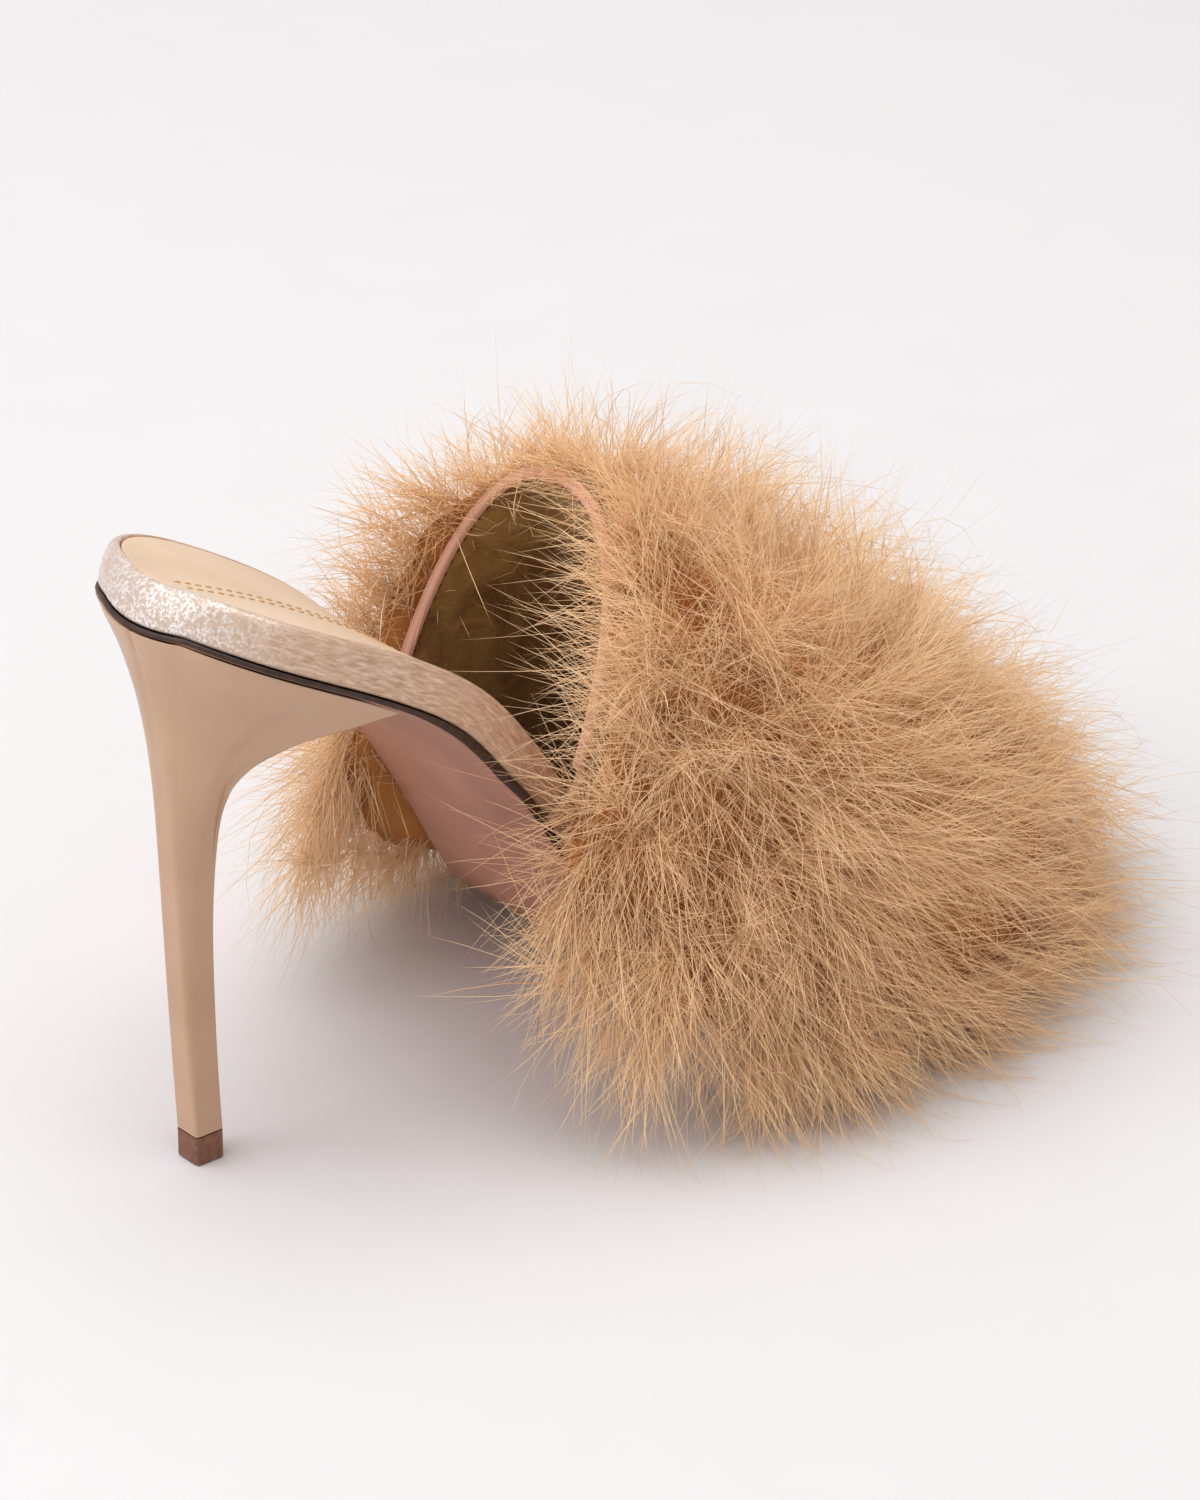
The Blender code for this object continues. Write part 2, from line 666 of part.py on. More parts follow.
def material(name, colour, roughness, metallic=0.0):
    made = bpy.data.materials.new(name)
    made.use_nodes = True
    shader = made.node_tree.nodes["Principled BSDF"]
    linear = [(c / 12.92) if c <= 0.04045 else ((c + 0.055) / 1.055) ** 2.4 for c in colour]
    shader.inputs["Base Color"].default_value = (*linear, 1)
    shader.inputs["Roughness"].default_value = roughness
    shader.inputs["Metallic"].default_value = metallic
    return made


def main():
    for old in list(bpy.data.objects):
        bpy.data.objects.remove(old)
    make_outsole(material("outsole_leather", (0.68, 0.46, 0.37), 0.45))
    make_platform(material("rand_leather", (0.79, 0.67, 0.54), 0.4, 0.2))
    make_sock(material("sock_leather", (0.93, 0.83, 0.71), 0.5))
    make_heel(material("heel_leather", (0.76, 0.63, 0.51), 0.4))
    make_heel_tip(material("tip_rubber", (0.50, 0.33, 0.22), 0.6))
    make_vamp(material("vamp_suede", (0.58, 0.44, 0.24), 0.9))
    make_binding(material("binding_leather", (0.85, 0.64, 0.55), 0.5))
    make_marabou(material("marabou_plume", (0.86, 0.67, 0.47), 0.9))


main()
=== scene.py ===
"""The finish of a high-heeled marabou mule for the right foot: leathers, stitches, plumes, light and camera.

X runs towards the toe, Y towards the inner side of the foot and Z up, in metres. Each main piece is
made again from the sizes and curves that its solid has, only finer, and then stands for that solid.
"""

import math

import bpy
import numpy as np
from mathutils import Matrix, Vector, noise


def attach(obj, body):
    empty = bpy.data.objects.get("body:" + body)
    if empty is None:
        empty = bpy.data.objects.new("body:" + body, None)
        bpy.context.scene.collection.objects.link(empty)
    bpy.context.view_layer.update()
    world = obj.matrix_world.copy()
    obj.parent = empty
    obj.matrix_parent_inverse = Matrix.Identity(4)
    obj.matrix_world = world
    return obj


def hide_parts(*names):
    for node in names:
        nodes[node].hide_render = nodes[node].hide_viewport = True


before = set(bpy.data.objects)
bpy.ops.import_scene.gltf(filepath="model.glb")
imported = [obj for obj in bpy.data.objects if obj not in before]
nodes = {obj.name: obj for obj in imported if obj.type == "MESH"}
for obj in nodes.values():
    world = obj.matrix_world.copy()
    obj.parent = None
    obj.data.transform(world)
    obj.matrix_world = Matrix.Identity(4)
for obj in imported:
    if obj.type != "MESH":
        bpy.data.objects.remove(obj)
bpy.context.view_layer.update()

MM = 0.001
GAP = 0.3 * MM

# The last: side profile and outline.
SEAT_BACK = -11.5 * MM
SEAT_HEIGHT = 104.6 * MM
TREAD_BACK = 112.0 * MM
TREAD_FRONT = 150.0 * MM
TOE_REACH = 190.0 * MM
TOE_SPRING = 6.5 * MM
SEAT_DISH = 1.5 * MM
SEAT_WIDTH = 56.0 * MM
WAIST_WIDTH = 45.6 * MM
BALL_WIDTH = 78.4 * MM
SEAT_ROUND = 27.0 * MM
TOE_ROUND = 46.0 * MM
TOE_DRIFT = 11.0 * MM

# The layers of the sole.
SEAT_SOLE = 1.0 * MM
FORE_SOLE = 1.9 * MM
SEAT_RAND = 7.8 * MM
FORE_RAND = 5.2 * MM
RAND_BULGE = 0.3 * MM
RAND_LIP = 1.7 * MM
SOCK_THICKNESS = 0.8 * MM

# The heel.
TIP_SIDE = 5.9 * MM
TIP_HEIGHT = 5.5 * MM
HEEL_SET_IN = 0.5 * MM
WING_STATION = 39.0 * MM
BREAST_STATION = 24.0 * MM
STEM_LEAN = 1.0 * MM

# The upper and the space of the plumes.
VAMP_WALL = 1.6 * MM
VAMP_CLEARANCE = 0.5 * MM
VAMP_BACK_STATION = 86.0 * MM
VAMP_FRONT_STATION = 210.0 * MM
THROAT_X = 84.5 * MM
THROAT_Z = 101.0 * MM
VAMP_END_X = 158.0 * MM
VAMP_END_Z = 36.0 * MM
CROWN_SHIFT = 3.0 * MM
CROWN_FULLNESS = 2.3
BINDING_HEIGHT = 1.3 * MM
BINDING_LAP = 0.35 * MM
FUR_BACK_X = 70.0 * MM
FUR_FRONT_X = 192.0 * MM
FUR_TOP = 108.0 * MM
FUR_OUTER_SIDE = 75.0 * MM
FUR_INNER_SIDE = 64.0 * MM
FUR_LOBE = 13.0 * MM
FUR_FULLNESS = 2.2
FUR_TUCK = 0.05
FUR_TRAIL = 16.0 * MM
FUR_GAP = 0.7 * MM
FUR_OFF_FLOOR = 2.5 * MM

# The stitches.
SOCK_STITCH_LENGTH = 1.5 * MM
SOCK_STITCH_STEP = 2.3 * MM
SOCK_STITCH_THICKNESS = 0.42 * MM
SOCK_ROWS_APART = 3.4 * MM
SOCK_ROWS_ASIDE = 2.0 * MM
WHIP_STITCH_STEP = 2.4 * MM
WHIP_STITCH_LENGTH = 1.0 * MM
WHIP_STITCH_THICKNESS = 0.3 * MM

# The plumes.
BARB_WIDTH = 0.155 * MM
QUILL_WIDTH = 0.34 * MM
BARB_LENGTH = 19.0 * MM
BARBS_ON_PLUME = 31
PLUMES_OVER = 820
LEAN_REACH = 22.0 * MM
PLUME_SEED = 11
PLUME_FRONT = 215.5 * MM
PLUME_SIDE = 85.3 * MM
PLUME_TOP = 126.5 * MM
PLUME_BEND = 9.0 * MM

# How finely the pieces are drawn.
CAP_STEPS = 26
BODY_STEPS = 84
FILL_COLUMNS = 15
SIDE_STEPS = 5
ARCH_STEPS = 60
VAMP_STEPS = 48
HOOD_STEPS = 12
HEEL_STEPS = 120
HEEL_ROWS = 70

SHANK_PROFILE = (
    # run, height
    (0.000, 1.000),
    (0.077, 0.959),
    (0.158, 0.914),
    (0.239, 0.862),
    (0.320, 0.801),
    (0.385, 0.738),
    (0.449, 0.658),
    (0.514, 0.560),
    (0.579, 0.444),
    (0.644, 0.321),
    (0.709, 0.208),
    (0.773, 0.117),
    (0.838, 0.056),
    (0.911, 0.018),
    (0.968, 0.003),
    (1.000, 0.000),
)

OUTLINE = (
    # station, seat, waist, ball, drift
    (0.000, 0.50, 0.00, 0.00, 0.00),
    (0.113, 0.50, 0.00, 0.00, 0.00),
    (0.180, 0.33, 0.19, 0.00, 0.00),
    (0.250, 0.12, 0.40, 0.00, 0.00),
    (0.340, 0.00, 0.50, 0.00, 0.05),
    (0.420, 0.00, 0.48, 0.015, 0.07),
    (0.504, 0.00, 0.24, 0.20, 0.09),
    (0.585, 0.00, 0.06, 0.386, 0.14),
    (0.645, 0.00, 0.00, 0.474, 0.19),
    (0.700, 0.00, 0.00, 0.500, 0.27),
    (0.758, 0.00, 0.00, 0.489, 0.39),
    (0.830, 0.00, 0.00, 0.427, 0.62),
    (0.911, 0.00, 0.00, 0.363, 0.86),
    (1.000, 0.00, 0.00, 0.319, 1.00),
)

LAYERS = (
    # station, sole, rand, dish
    (0.00, 0.0, 0.00, 1.0),
    (0.15, 0.0, 0.00, 1.0),
    (0.25, 0.9, 0.05, 0.9),
    (0.34, 1.0, 0.20, 0.7),
    (0.50, 1.0, 0.80, 0.2),
    (0.58, 1.0, 1.00, 0.0),
    (1.00, 1.0, 1.00, 0.0),
)

HEEL_FLARE = (
    # place, back drop, corner drop, back, corner, side, breast
    (0, 0.000, 0.000, 0.00, 0.00, 0.00, 0.00),
    (1, 0.034, 0.022, 0.13, 0.25, 0.13, 0.42),
    (2, 0.074, 0.050, 0.28, 0.52, 0.33, 0.68),
    (3, 0.120, 0.083, 0.41, 0.70, 0.50, 0.86),
    (4, 0.180, 0.131, 0.55, 0.89, 0.67, 0.98),
    (5, 0.257, 0.197, 0.69, 1.01, 0.79, 1.05),
    (6, 0.348, 0.280, 0.78, 1.03, 0.89, 1.05),
    (7, 0.465, 0.398, 0.84, 1.03, 0.95, 1.04),
    (8, 0.643, 0.589, 0.90, 1.02, 0.99, 1.02),
    (9, 1.000, 1.000, 1.00, 1.00, 1.00, 1.00),
)

VAMP_ROWS = (
    # crown run, crown height, foot station
    (0.000, 1.000, 0.00),
    (0.100, 0.840, 0.09),
    (0.210, 0.680, 0.18),
    (0.310, 0.535, 0.28),
    (0.415, 0.405, 0.38),
    (0.520, 0.300, 0.48),
    (0.620, 0.215, 0.58),
    (0.720, 0.140, 0.69),
    (0.820, 0.077, 0.80),
    (0.910, 0.030, 0.90),
    (1.000, 0.000, 1.00),
)

TOE_HOOD = (
    # crown run, crown height, foot station
    (1.00, 0.00, 1.00),
    (1.09, -0.03, 1.09),
    (1.18, -0.09, 1.17),
    (1.26, -0.17, 1.24),
)

FUR_ROWS = (
    # place, side run, crown run, side height, crown height, fullness, hang
    (0, -0.070, 0.140, 0.600, 0.985, 0.52, 0.62),
    (1, -0.065, 0.165, 0.540, 1.010, 0.66, 0.80),
    (2, -0.035, 0.215, 0.430, 1.020, 0.81, 0.93),
    (3, 0.050, 0.300, 0.320, 1.010, 0.91, 0.96),
    (4, 0.160, 0.375, 0.250, 0.985, 0.98, 1.00),
    (5, 0.280, 0.450, 0.220, 0.940, 1.00, 1.00),
    (6, 0.400, 0.535, 0.205, 0.875, 1.01, 1.00),
    (7, 0.520, 0.625, 0.195, 0.795, 1.01, 1.00),
    (8, 0.630, 0.715, 0.185, 0.705, 0.99, 1.00),
    (9, 0.740, 0.800, 0.180, 0.610, 0.94, 1.00),
    (10, 0.840, 0.875, 0.175, 0.510, 0.86, 1.00),
    (11, 0.920, 0.935, 0.165, 0.415, 0.76, 1.00),
    (12, 0.975, 0.980, 0.150, 0.330, 0.64, 0.98),
    (13, 1.000, 1.000, 0.140, 0.270, 0.52, 0.90),
)


def smooth_curve(rows, column):
    """A function through one column of a table, with no overshoot between its rows."""
    places = np.array([row[0] for row in rows], float)
    values = np.array([row[column] for row in rows], float)
    steps = np.diff(places)
    slopes = np.diff(values) / steps
    ends = np.zeros(len(rows))
    same_way = slopes[:-1] * slopes[1:] > 0
    first, second = 2 * steps[1:] + steps[:-1], steps[1:] + 2 * steps[:-1]
    inner = np.zeros(len(slopes) - 1)
    inner[same_way] = (
        (first + second)[same_way]
        / (first[same_way] / slopes[:-1][same_way] + second[same_way] / slopes[1:][same_way])
    )
    ends[1:-1] = inner
    ends[0], ends[-1] = slopes[0], slopes[-1]

    def at(place):
        place = np.clip(np.asarray(place, float), places[0], places[-1])
        i = np.clip(np.searchsorted(places, place, side="right") - 1, 0, len(steps) - 1)
        t = (place - places[i]) / steps[i]
        rise = values[i] * (1 + 2 * t) * (1 - t) ** 2 + values[i + 1] * t**2 * (3 - 2 * t)
        return rise + steps[i] * (ends[i] * t * (1 - t) ** 2 - ends[i + 1] * t**2 * (1 - t))

    return at


def even_rows(rows, count):
    """Rows at even steps of a table's first column, read from its smooth curves."""
    first = np.linspace(rows[0][0], rows[-1][0], count + 1)
    return np.column_stack([first] + [smooth_curve(rows, k)(first) for k in range(1, len(rows[0]))])


def side_profile():
    """The last's bottom line as finely spaced points, with their stations and directions."""
    shank = np.linspace(0, 1, 400)
    tread = np.linspace(TREAD_BACK, TREAD_FRONT, 40)[1:]
    toe = np.linspace(TREAD_FRONT, TOE_REACH, 60)[1:]
    lift = (toe - TREAD_FRONT) / (TOE_REACH - TREAD_FRONT)
    x = np.concatenate([SEAT_BACK + shank * (TREAD_BACK - SEAT_BACK), tread, toe])
    height = smooth_curve(SHANK_PROFILE, 1)(shank)
    z = np.concatenate([SEAT_HEIGHT * height, 0 * tread, TOE_SPRING * lift**2])
    station = np.concatenate([[0], np.cumsum(np.hypot(np.diff(x), np.diff(z)))])
    return x, z, station, np.gradient(x, station), np.gradient(z, station)


PROFILE_X, PROFILE_Z, PROFILE_STATION, ALONG_X, ALONG_Z = side_profile()
SOLE_LENGTH = PROFILE_STATION[-1]


def half_width(station):
    place = np.asarray(station, float) / SOLE_LENGTH
    seat, waist, ball = (smooth_curve(OUTLINE, column)(place) for column in (1, 2, 3))
    body = seat * SEAT_WIDTH + waist * WAIST_WIDTH + ball * BALL_WIDTH
    back = np.clip(1 - station / SEAT_ROUND, 0, 1)
    front = np.clip(1 - (SOLE_LENGTH - station) / TOE_ROUND, 0, 1)
    return body * np.sqrt(1 - back**2) * np.sqrt(1 - front**2)


def middle(station):
    return TOE_DRIFT * smooth_curve(OUTLINE, 4)(np.asarray(station, float) / SOLE_LENGTH)


def layer(station, column, seat, fore):
    return seat + (fore - seat) * smooth_curve(LAYERS, column)(np.asarray(station, float) / SOLE_LENGTH)


def sole_top(station):
    return layer(station, 1, SEAT_SOLE, FORE_SOLE)


def rand_bottom(station):
    return sole_top(station) + GAP


def rand_top(station):
    return rand_bottom(station) + layer(station, 2, SEAT_RAND, FORE_RAND)


def on_sole(station, across, height):
    """Bends a point of the flat pattern over the last: its station, its distance across, its height."""
    station, across, height = np.broadcast_arrays(
        np.asarray(station, float), np.asarray(across, float), np.asarray(height, float)
    )
    along_x = np.interp(station, PROFILE_STATION, ALONG_X)
    along_z = np.interp(station, PROFILE_STATION, ALONG_Z)
    over = station - np.clip(station, 0, SOLE_LENGTH)
    wide = np.maximum(half_width(np.clip(station, 0, SOLE_LENGTH)), 0.25 * WAIST_WIDTH)
    dish = SEAT_DISH * smooth_curve(LAYERS, 3)(station / SOLE_LENGTH)
    lift = height + dish * ((across - middle(station)) / wide) ** 2
    x = np.interp(station, PROFILE_STATION, PROFILE_X) + over * along_x - along_z * lift
    z = np.interp(station, PROFILE_STATION, PROFILE_Z) + over * along_z + along_x * lift
    return np.stack([x, across, z], axis=-1)


def outline_loop():
    """The flat outline, back point first and then round by the outer side, and its inward directions."""
    turn = 1 - np.cos(np.linspace(0, math.pi / 2, CAP_STEPS + 1))
    body = np.linspace(SEAT_ROUND, SOLE_LENGTH - TOE_ROUND, BODY_STEPS + 1)[1:-1]
    stations = np.concatenate([SEAT_ROUND * turn, body, SOLE_LENGTH - TOE_ROUND * turn[::-1]])
    outer = np.stack([stations, middle(stations) - half_width(stations)], axis=-1)
    inner = np.stack([stations, middle(stations) + half_width(stations)], axis=-1)
    loop = np.concatenate([outer, inner[-2:0:-1]])
    ahead = np.roll(loop, -1, axis=0) - np.roll(loop, 1, axis=0)
    ahead /= np.linalg.norm(ahead, axis=1, keepdims=True)
    return loop, np.stack([-ahead[:, 1], ahead[:, 0]], axis=-1)


OUTLINE_LOOP, INWARD = outline_loop()


def edge_at(station, inset, side):
    return middle(station) + side * (half_width(station) - inset)


# Meshes.


def grid_faces(numbers, around=False):
    """Four-sided faces between the neighbouring rows of a layout of point numbers."""
    after = np.roll(numbers, -1, axis=1)
    upper, lower = numbers[:-1], numbers[1:]
    faces = np.stack([upper, lower, after[1:], after[:-1]], axis=-1)
    if not around:
        faces = faces[:, :-1]
    return faces.reshape(-1, 4)


def make_piece(name, points, faces, materials, bands=None, values=None, sharp=None):
    """A smooth closed piece riding on the shoe, with its faces turned outwards."""
    mesh = bpy.data.meshes.new(name)
    kept = []
    for face in faces:
        corners = [int(c) for i, c in enumerate(face) if c != face[i - 1]]
        kept.append(corners if len(set(corners)) > 2 else None)
    if bands is not None:
        bands = [band for band, face in zip(bands, kept) if face]
    mesh.from_pydata(np.asarray(points).tolist(), [], [face for face in kept if face])
    for each in materials:
        mesh.materials.append(each)
    if bands is not None:
        mesh.polygons.foreach_set("material_index", bands)
    for title, value in (values or {}).items():
        value = np.asarray(value, np.float32)
        kind = "FLOAT" if value.ndim == 1 else "FLOAT_VECTOR"
        put = mesh.attributes.new(title, kind, "POINT")
        put.data.foreach_set("value" if value.ndim == 1 else "vector", value.ravel())
    mesh.shade_smooth()
    if sharp:
        mesh.set_sharp_from_angle(angle=math.radians(sharp))
    made = bpy.data.objects.new(name, mesh)
    bpy.context.collection.objects.link(made)
    turn_outwards(made)
    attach(made, "root")
    return made


def turn_outwards(piece):
    """Turns all faces the same way, out of the solid."""
    import bmesh

    body = bmesh.new()
    body.from_mesh(piece.data)
    loose = [point for point in body.verts if not point.link_faces]
    bmesh.ops.delete(body, geom=loose, context="VERTS")
    bmesh.ops.recalc_face_normals(body, faces=body.faces[:])
    if body.calc_volume(signed=True) < 0:
        bmesh.ops.reverse_faces(body, faces=body.faces[:])
    body.to_mesh(piece.data)
    body.free()


def around_outline():
    """How far each point of the outline lies from the back of the seat, along its own side."""
    gaps = np.linalg.norm(np.diff(OUTLINE_LOOP, axis=0, append=OUTLINE_LOOP[:1]), axis=1)
    there = np.concatenate([[0], np.cumsum(gaps)[:-1]])
    return np.minimum(there, gaps.sum() - there)


def sole_layer(name, rings, materials, side_bands, cap_bands=(0, 0), sharp=None):
    """A layer of the sole: rings of the outline from its underside to its top, both filled in.

    Its points keep the value flat, the place on the unrolled edge, for patterns that follow it.
    """
    count = len(OUTLINE_LOOP)
    tip = count // 2
    points, flat, faces, bands = [], [], [], []
    profile = 0.0
    before = None
    distance = around_outline()
    for inset, height in rings:
        at = OUTLINE_LOOP + INWARD * np.reshape(inset, (-1, 1))
        row = on_sole(at[:, 0], at[:, 1], height(at[:, 0]))
        if before is not None:
            profile += np.median(np.linalg.norm(row - before, axis=1))
        before = row
        points.append(row)
        flat.append(np.column_stack([distance, np.full(count, profile), at[:, 0]]))
    numbers = np.arange(len(rings) * count).reshape(len(rings), count)
    for k in range(len(rings) - 1):
        added = grid_faces(numbers[k : k + 2], around=True)
        faces.extend(added)
        bands.extend([side_bands[k]] * len(added))
    total = len(rings) * count
    for which, band in ((0, cap_bands[0]), (-1, cap_bands[1])):
        inset, height = rings[which]
        at = OUTLINE_LOOP + INWARD * np.reshape(inset, (-1, 1))
        ring = numbers[which]
        part = np.linspace(0, 1, FILL_COLUMNS + 2)[1:-1, None]
        rows = [np.full(FILL_COLUMNS + 2, ring[0])]
        for i in range(1, tip):
            between = at[i] + (at[count - i] - at[i]) * part
            points.append(on_sole(between[:, 0], between[:, 1], height(between[:, 0])))
            flat.append(np.column_stack([between, between[:, 0]]))
            filled = total + np.arange(FILL_COLUMNS)
            total += FILL_COLUMNS
            rows.append(np.concatenate([[ring[i]], filled, [ring[count - i]]]))
        rows.append(np.full(FILL_COLUMNS + 2, ring[tip]))
        added = grid_faces(np.array(rows))
        faces.extend(added)
        bands.extend([band] * len(added))
    values = {"flat": np.concatenate(flat)}
    return make_piece(name, np.concatenate(points), faces, materials, bands, values, sharp)


def wall(name, near, far, materials, sharp=None):
    """Closes two facing layouts of points into one wall; its near face has the first material."""
    rows, columns = near.shape[:2]
    points = np.concatenate([near.reshape(-1, 3), far.reshape(-1, 3)])
    inside = np.arange(rows * columns).reshape(rows, columns)
    outside = inside + rows * columns
    parts = [grid_faces(inside), grid_faces(outside)]
    for edge in (0, -1):
        parts.append(grid_faces(np.array([inside[edge], outside[edge]])))
        parts.append(grid_faces(np.array([inside[:, edge], outside[:, edge]])))
    bands = np.concatenate([np.full(len(part), 0 if k == 0 else 1) for k, part in enumerate(parts)])
    bands = np.minimum(bands, len(materials) - 1).tolist()
    return make_piece(name, points, np.concatenate(parts), materials, bands, sharp=sharp)


def tubes(name, paths, widths, starts, tone_and_shade, material):
    """Fine three-sided hairs with pointed ends, one along each path, joined in one mesh."""
    many, steps = paths.shape[:2]
    ahead = np.gradient(paths, axis=1)
    ahead /= np.maximum(np.linalg.norm(ahead, axis=-1, keepdims=True), 1e-9)
    aside = np.cross(ahead, (0.31, 0.22, 0.93))
    aside /= np.maximum(np.linalg.norm(aside, axis=-1, keepdims=True), 1e-9)
    over = np.cross(ahead, aside)
    rings = steps - 1
    taper = np.array([0.75, 1.0, 0.9, 0.68, 0.45, 0.3])[:rings]
    corners = []
    for k in range(3):
        angle = 2 * math.pi * k / 3
        out = math.cos(angle) * aside[:, :rings] + math.sin(angle) * over[:, :rings]
        corners.append(paths[:, :rings] + out * (0.5 * widths[:, None] * taper)[..., None])
    points = np.stack(corners, axis=2).reshape(many, rings * 3, 3)
    points = np.concatenate([points, paths[:, -1:]], axis=1)
    first = 3 * np.arange(rings - 1)[:, None] + np.arange(3)[None]
    second = 3 * np.arange(rings - 1)[:, None] + (np.arange(3)[None] + 1) % 3
    side = np.stack([first, second, second + 3, first + 3], axis=-1).reshape(-1, 4)
    last = 3 * (rings - 1)
    three = [[last + k, last + (k + 1) % 3, 3 * rings] for k in range(3)] + [[2, 1, 0]]
    each = 3 * rings + 1
    starts = each * np.arange(many)
    fours = (side.ravel()[None] + starts[:, None]).reshape(many, -1)
    threes = (np.ravel(three)[None] + starts[:, None]).reshape(many, -1)
    corners = np.concatenate([fours, threes], axis=1).ravel()
    sizes = np.tile([4] * len(side) + [3] * len(three), many)
    mesh = bpy.data.meshes.new(name)
    mesh.vertices.add(many * each)
    mesh.vertices.foreach_set("co", points.astype(np.float32).ravel())
    mesh.loops.add(len(corners))
    mesh.loops.foreach_set("vertex_index", corners.astype(np.int32))
    mesh.polygons.add(len(sizes))
    mesh.polygons.foreach_set("loop_start", np.concatenate([[0], np.cumsum(sizes)[:-1]]).astype(np.int32))
    mesh.update(calc_edges=True)
    # The run and tone attributes feed the plume colour ramp: painted depth shade at the roots, painted shade in the
    # whorls.
    step = np.concatenate([np.repeat(np.linspace(0, 1, steps)[:-1], 3), [1.0]])
    run = starts[:, None] + (1 - starts[:, None]) * step[None]
    for title, value in (("run", run.ravel()), ("tone_and_shade", np.repeat(tone_and_shade, each))):
        mesh.attributes.new(title, "FLOAT", "POINT").data.foreach_set("value", value.astype(np.float32))
    mesh.shade_smooth()
    mesh.materials.append(material)
    made = bpy.data.objects.new(name, mesh)
    bpy.context.collection.objects.link(made)
    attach(made, "root")
    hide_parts("marabou")
    return made


# Materials.


def linear(colour):
    """A hex colour of the screen as the linear numbers that a shader takes."""
    parts = [int(colour[k : k + 2], 16) / 255 for k in (1, 3, 5)]
    return (*[c / 12.92 if c <= 0.04045 else ((c + 0.055) / 1.055) ** 2.4 for c in parts], 1.0)


def add(tree, kind, inputs=None, stops=None, **settings):
    """Adds a node with its settings, its inputs' values or links, and a ramp's stops."""
    made = tree.nodes.new(kind)
    for key, value in settings.items():
        setattr(made, key, value)
    for key, value in (inputs or {}).items():
        if isinstance(value, bpy.types.NodeSocket):
            tree.links.new(value, made.inputs[key])
        else:
            made.inputs[key].default_value = value
    if stops:
        elements = made.color_ramp.elements
        while len(elements) < len(stops):
            elements.new(0.5)
        for element, (place, colour) in zip(elements, stops):
            element.position = place
            element.color = linear(colour) if isinstance(colour, str) else (colour, colour, colour, 1)
    return made


def new_material(name, **shader_values):
    """A material with its shader, whose plain numbers are set on its own sockets."""
    made = bpy.data.materials.new(name)
    made.use_nodes = True
    shader = made.node_tree.nodes["Principled BSDF"]
    for key, value in shader_values.items():
        shader.inputs[key.replace("_", " ")].default_value = value
    return made, made.node_tree, shader


def smooth_leather(name, colour, deep, roughness=0.42, pore=0.35 * MM, relief=0.05):
    """Finished calf leather, drum-dyed and plated: an even satin colour, faint clouds, fine pores."""
    made, tree, shader = new_material(name, Roughness=roughness, IOR=1.46, Coat_Weight=0.06, Coat_Roughness=0.4)
    where = add(tree, "ShaderNodeTexCoord").outputs["Object"]
    clouds = add(tree, "ShaderNodeTexNoise", {"Vector": where, "Scale": 1 / (22 * MM), "Detail": 3.0})
    grain = add(tree, "ShaderNodeTexVoronoi", {"Vector": where, "Scale": 1 / pore, "Randomness": 1.0})
    fine = add(tree, "ShaderNodeTexNoise", {"Vector": where, "Scale": 1 / (0.9 * MM), "Detail": 4.0})
    tint = add(
        tree, "ShaderNodeValToRGB", {"Fac": clouds.outputs["Fac"]},
        stops=((0.3, deep), (0.7, colour)),
    )
    tree.links.new(tint.outputs["Color"], shader.inputs["Base Color"])
    height = add(
        tree, "ShaderNodeMath",
        {0: grain.outputs["Distance"], 1: fine.outputs["Fac"]}, operation="ADD",
    )
    bump = add(
        tree, "ShaderNodeBump",
        {"Height": height.outputs[0], "Strength": relief, "Distance": 0.08 * MM},
    )
    tree.links.new(bump.outputs["Normal"], shader.inputs["Normal"])
    return made


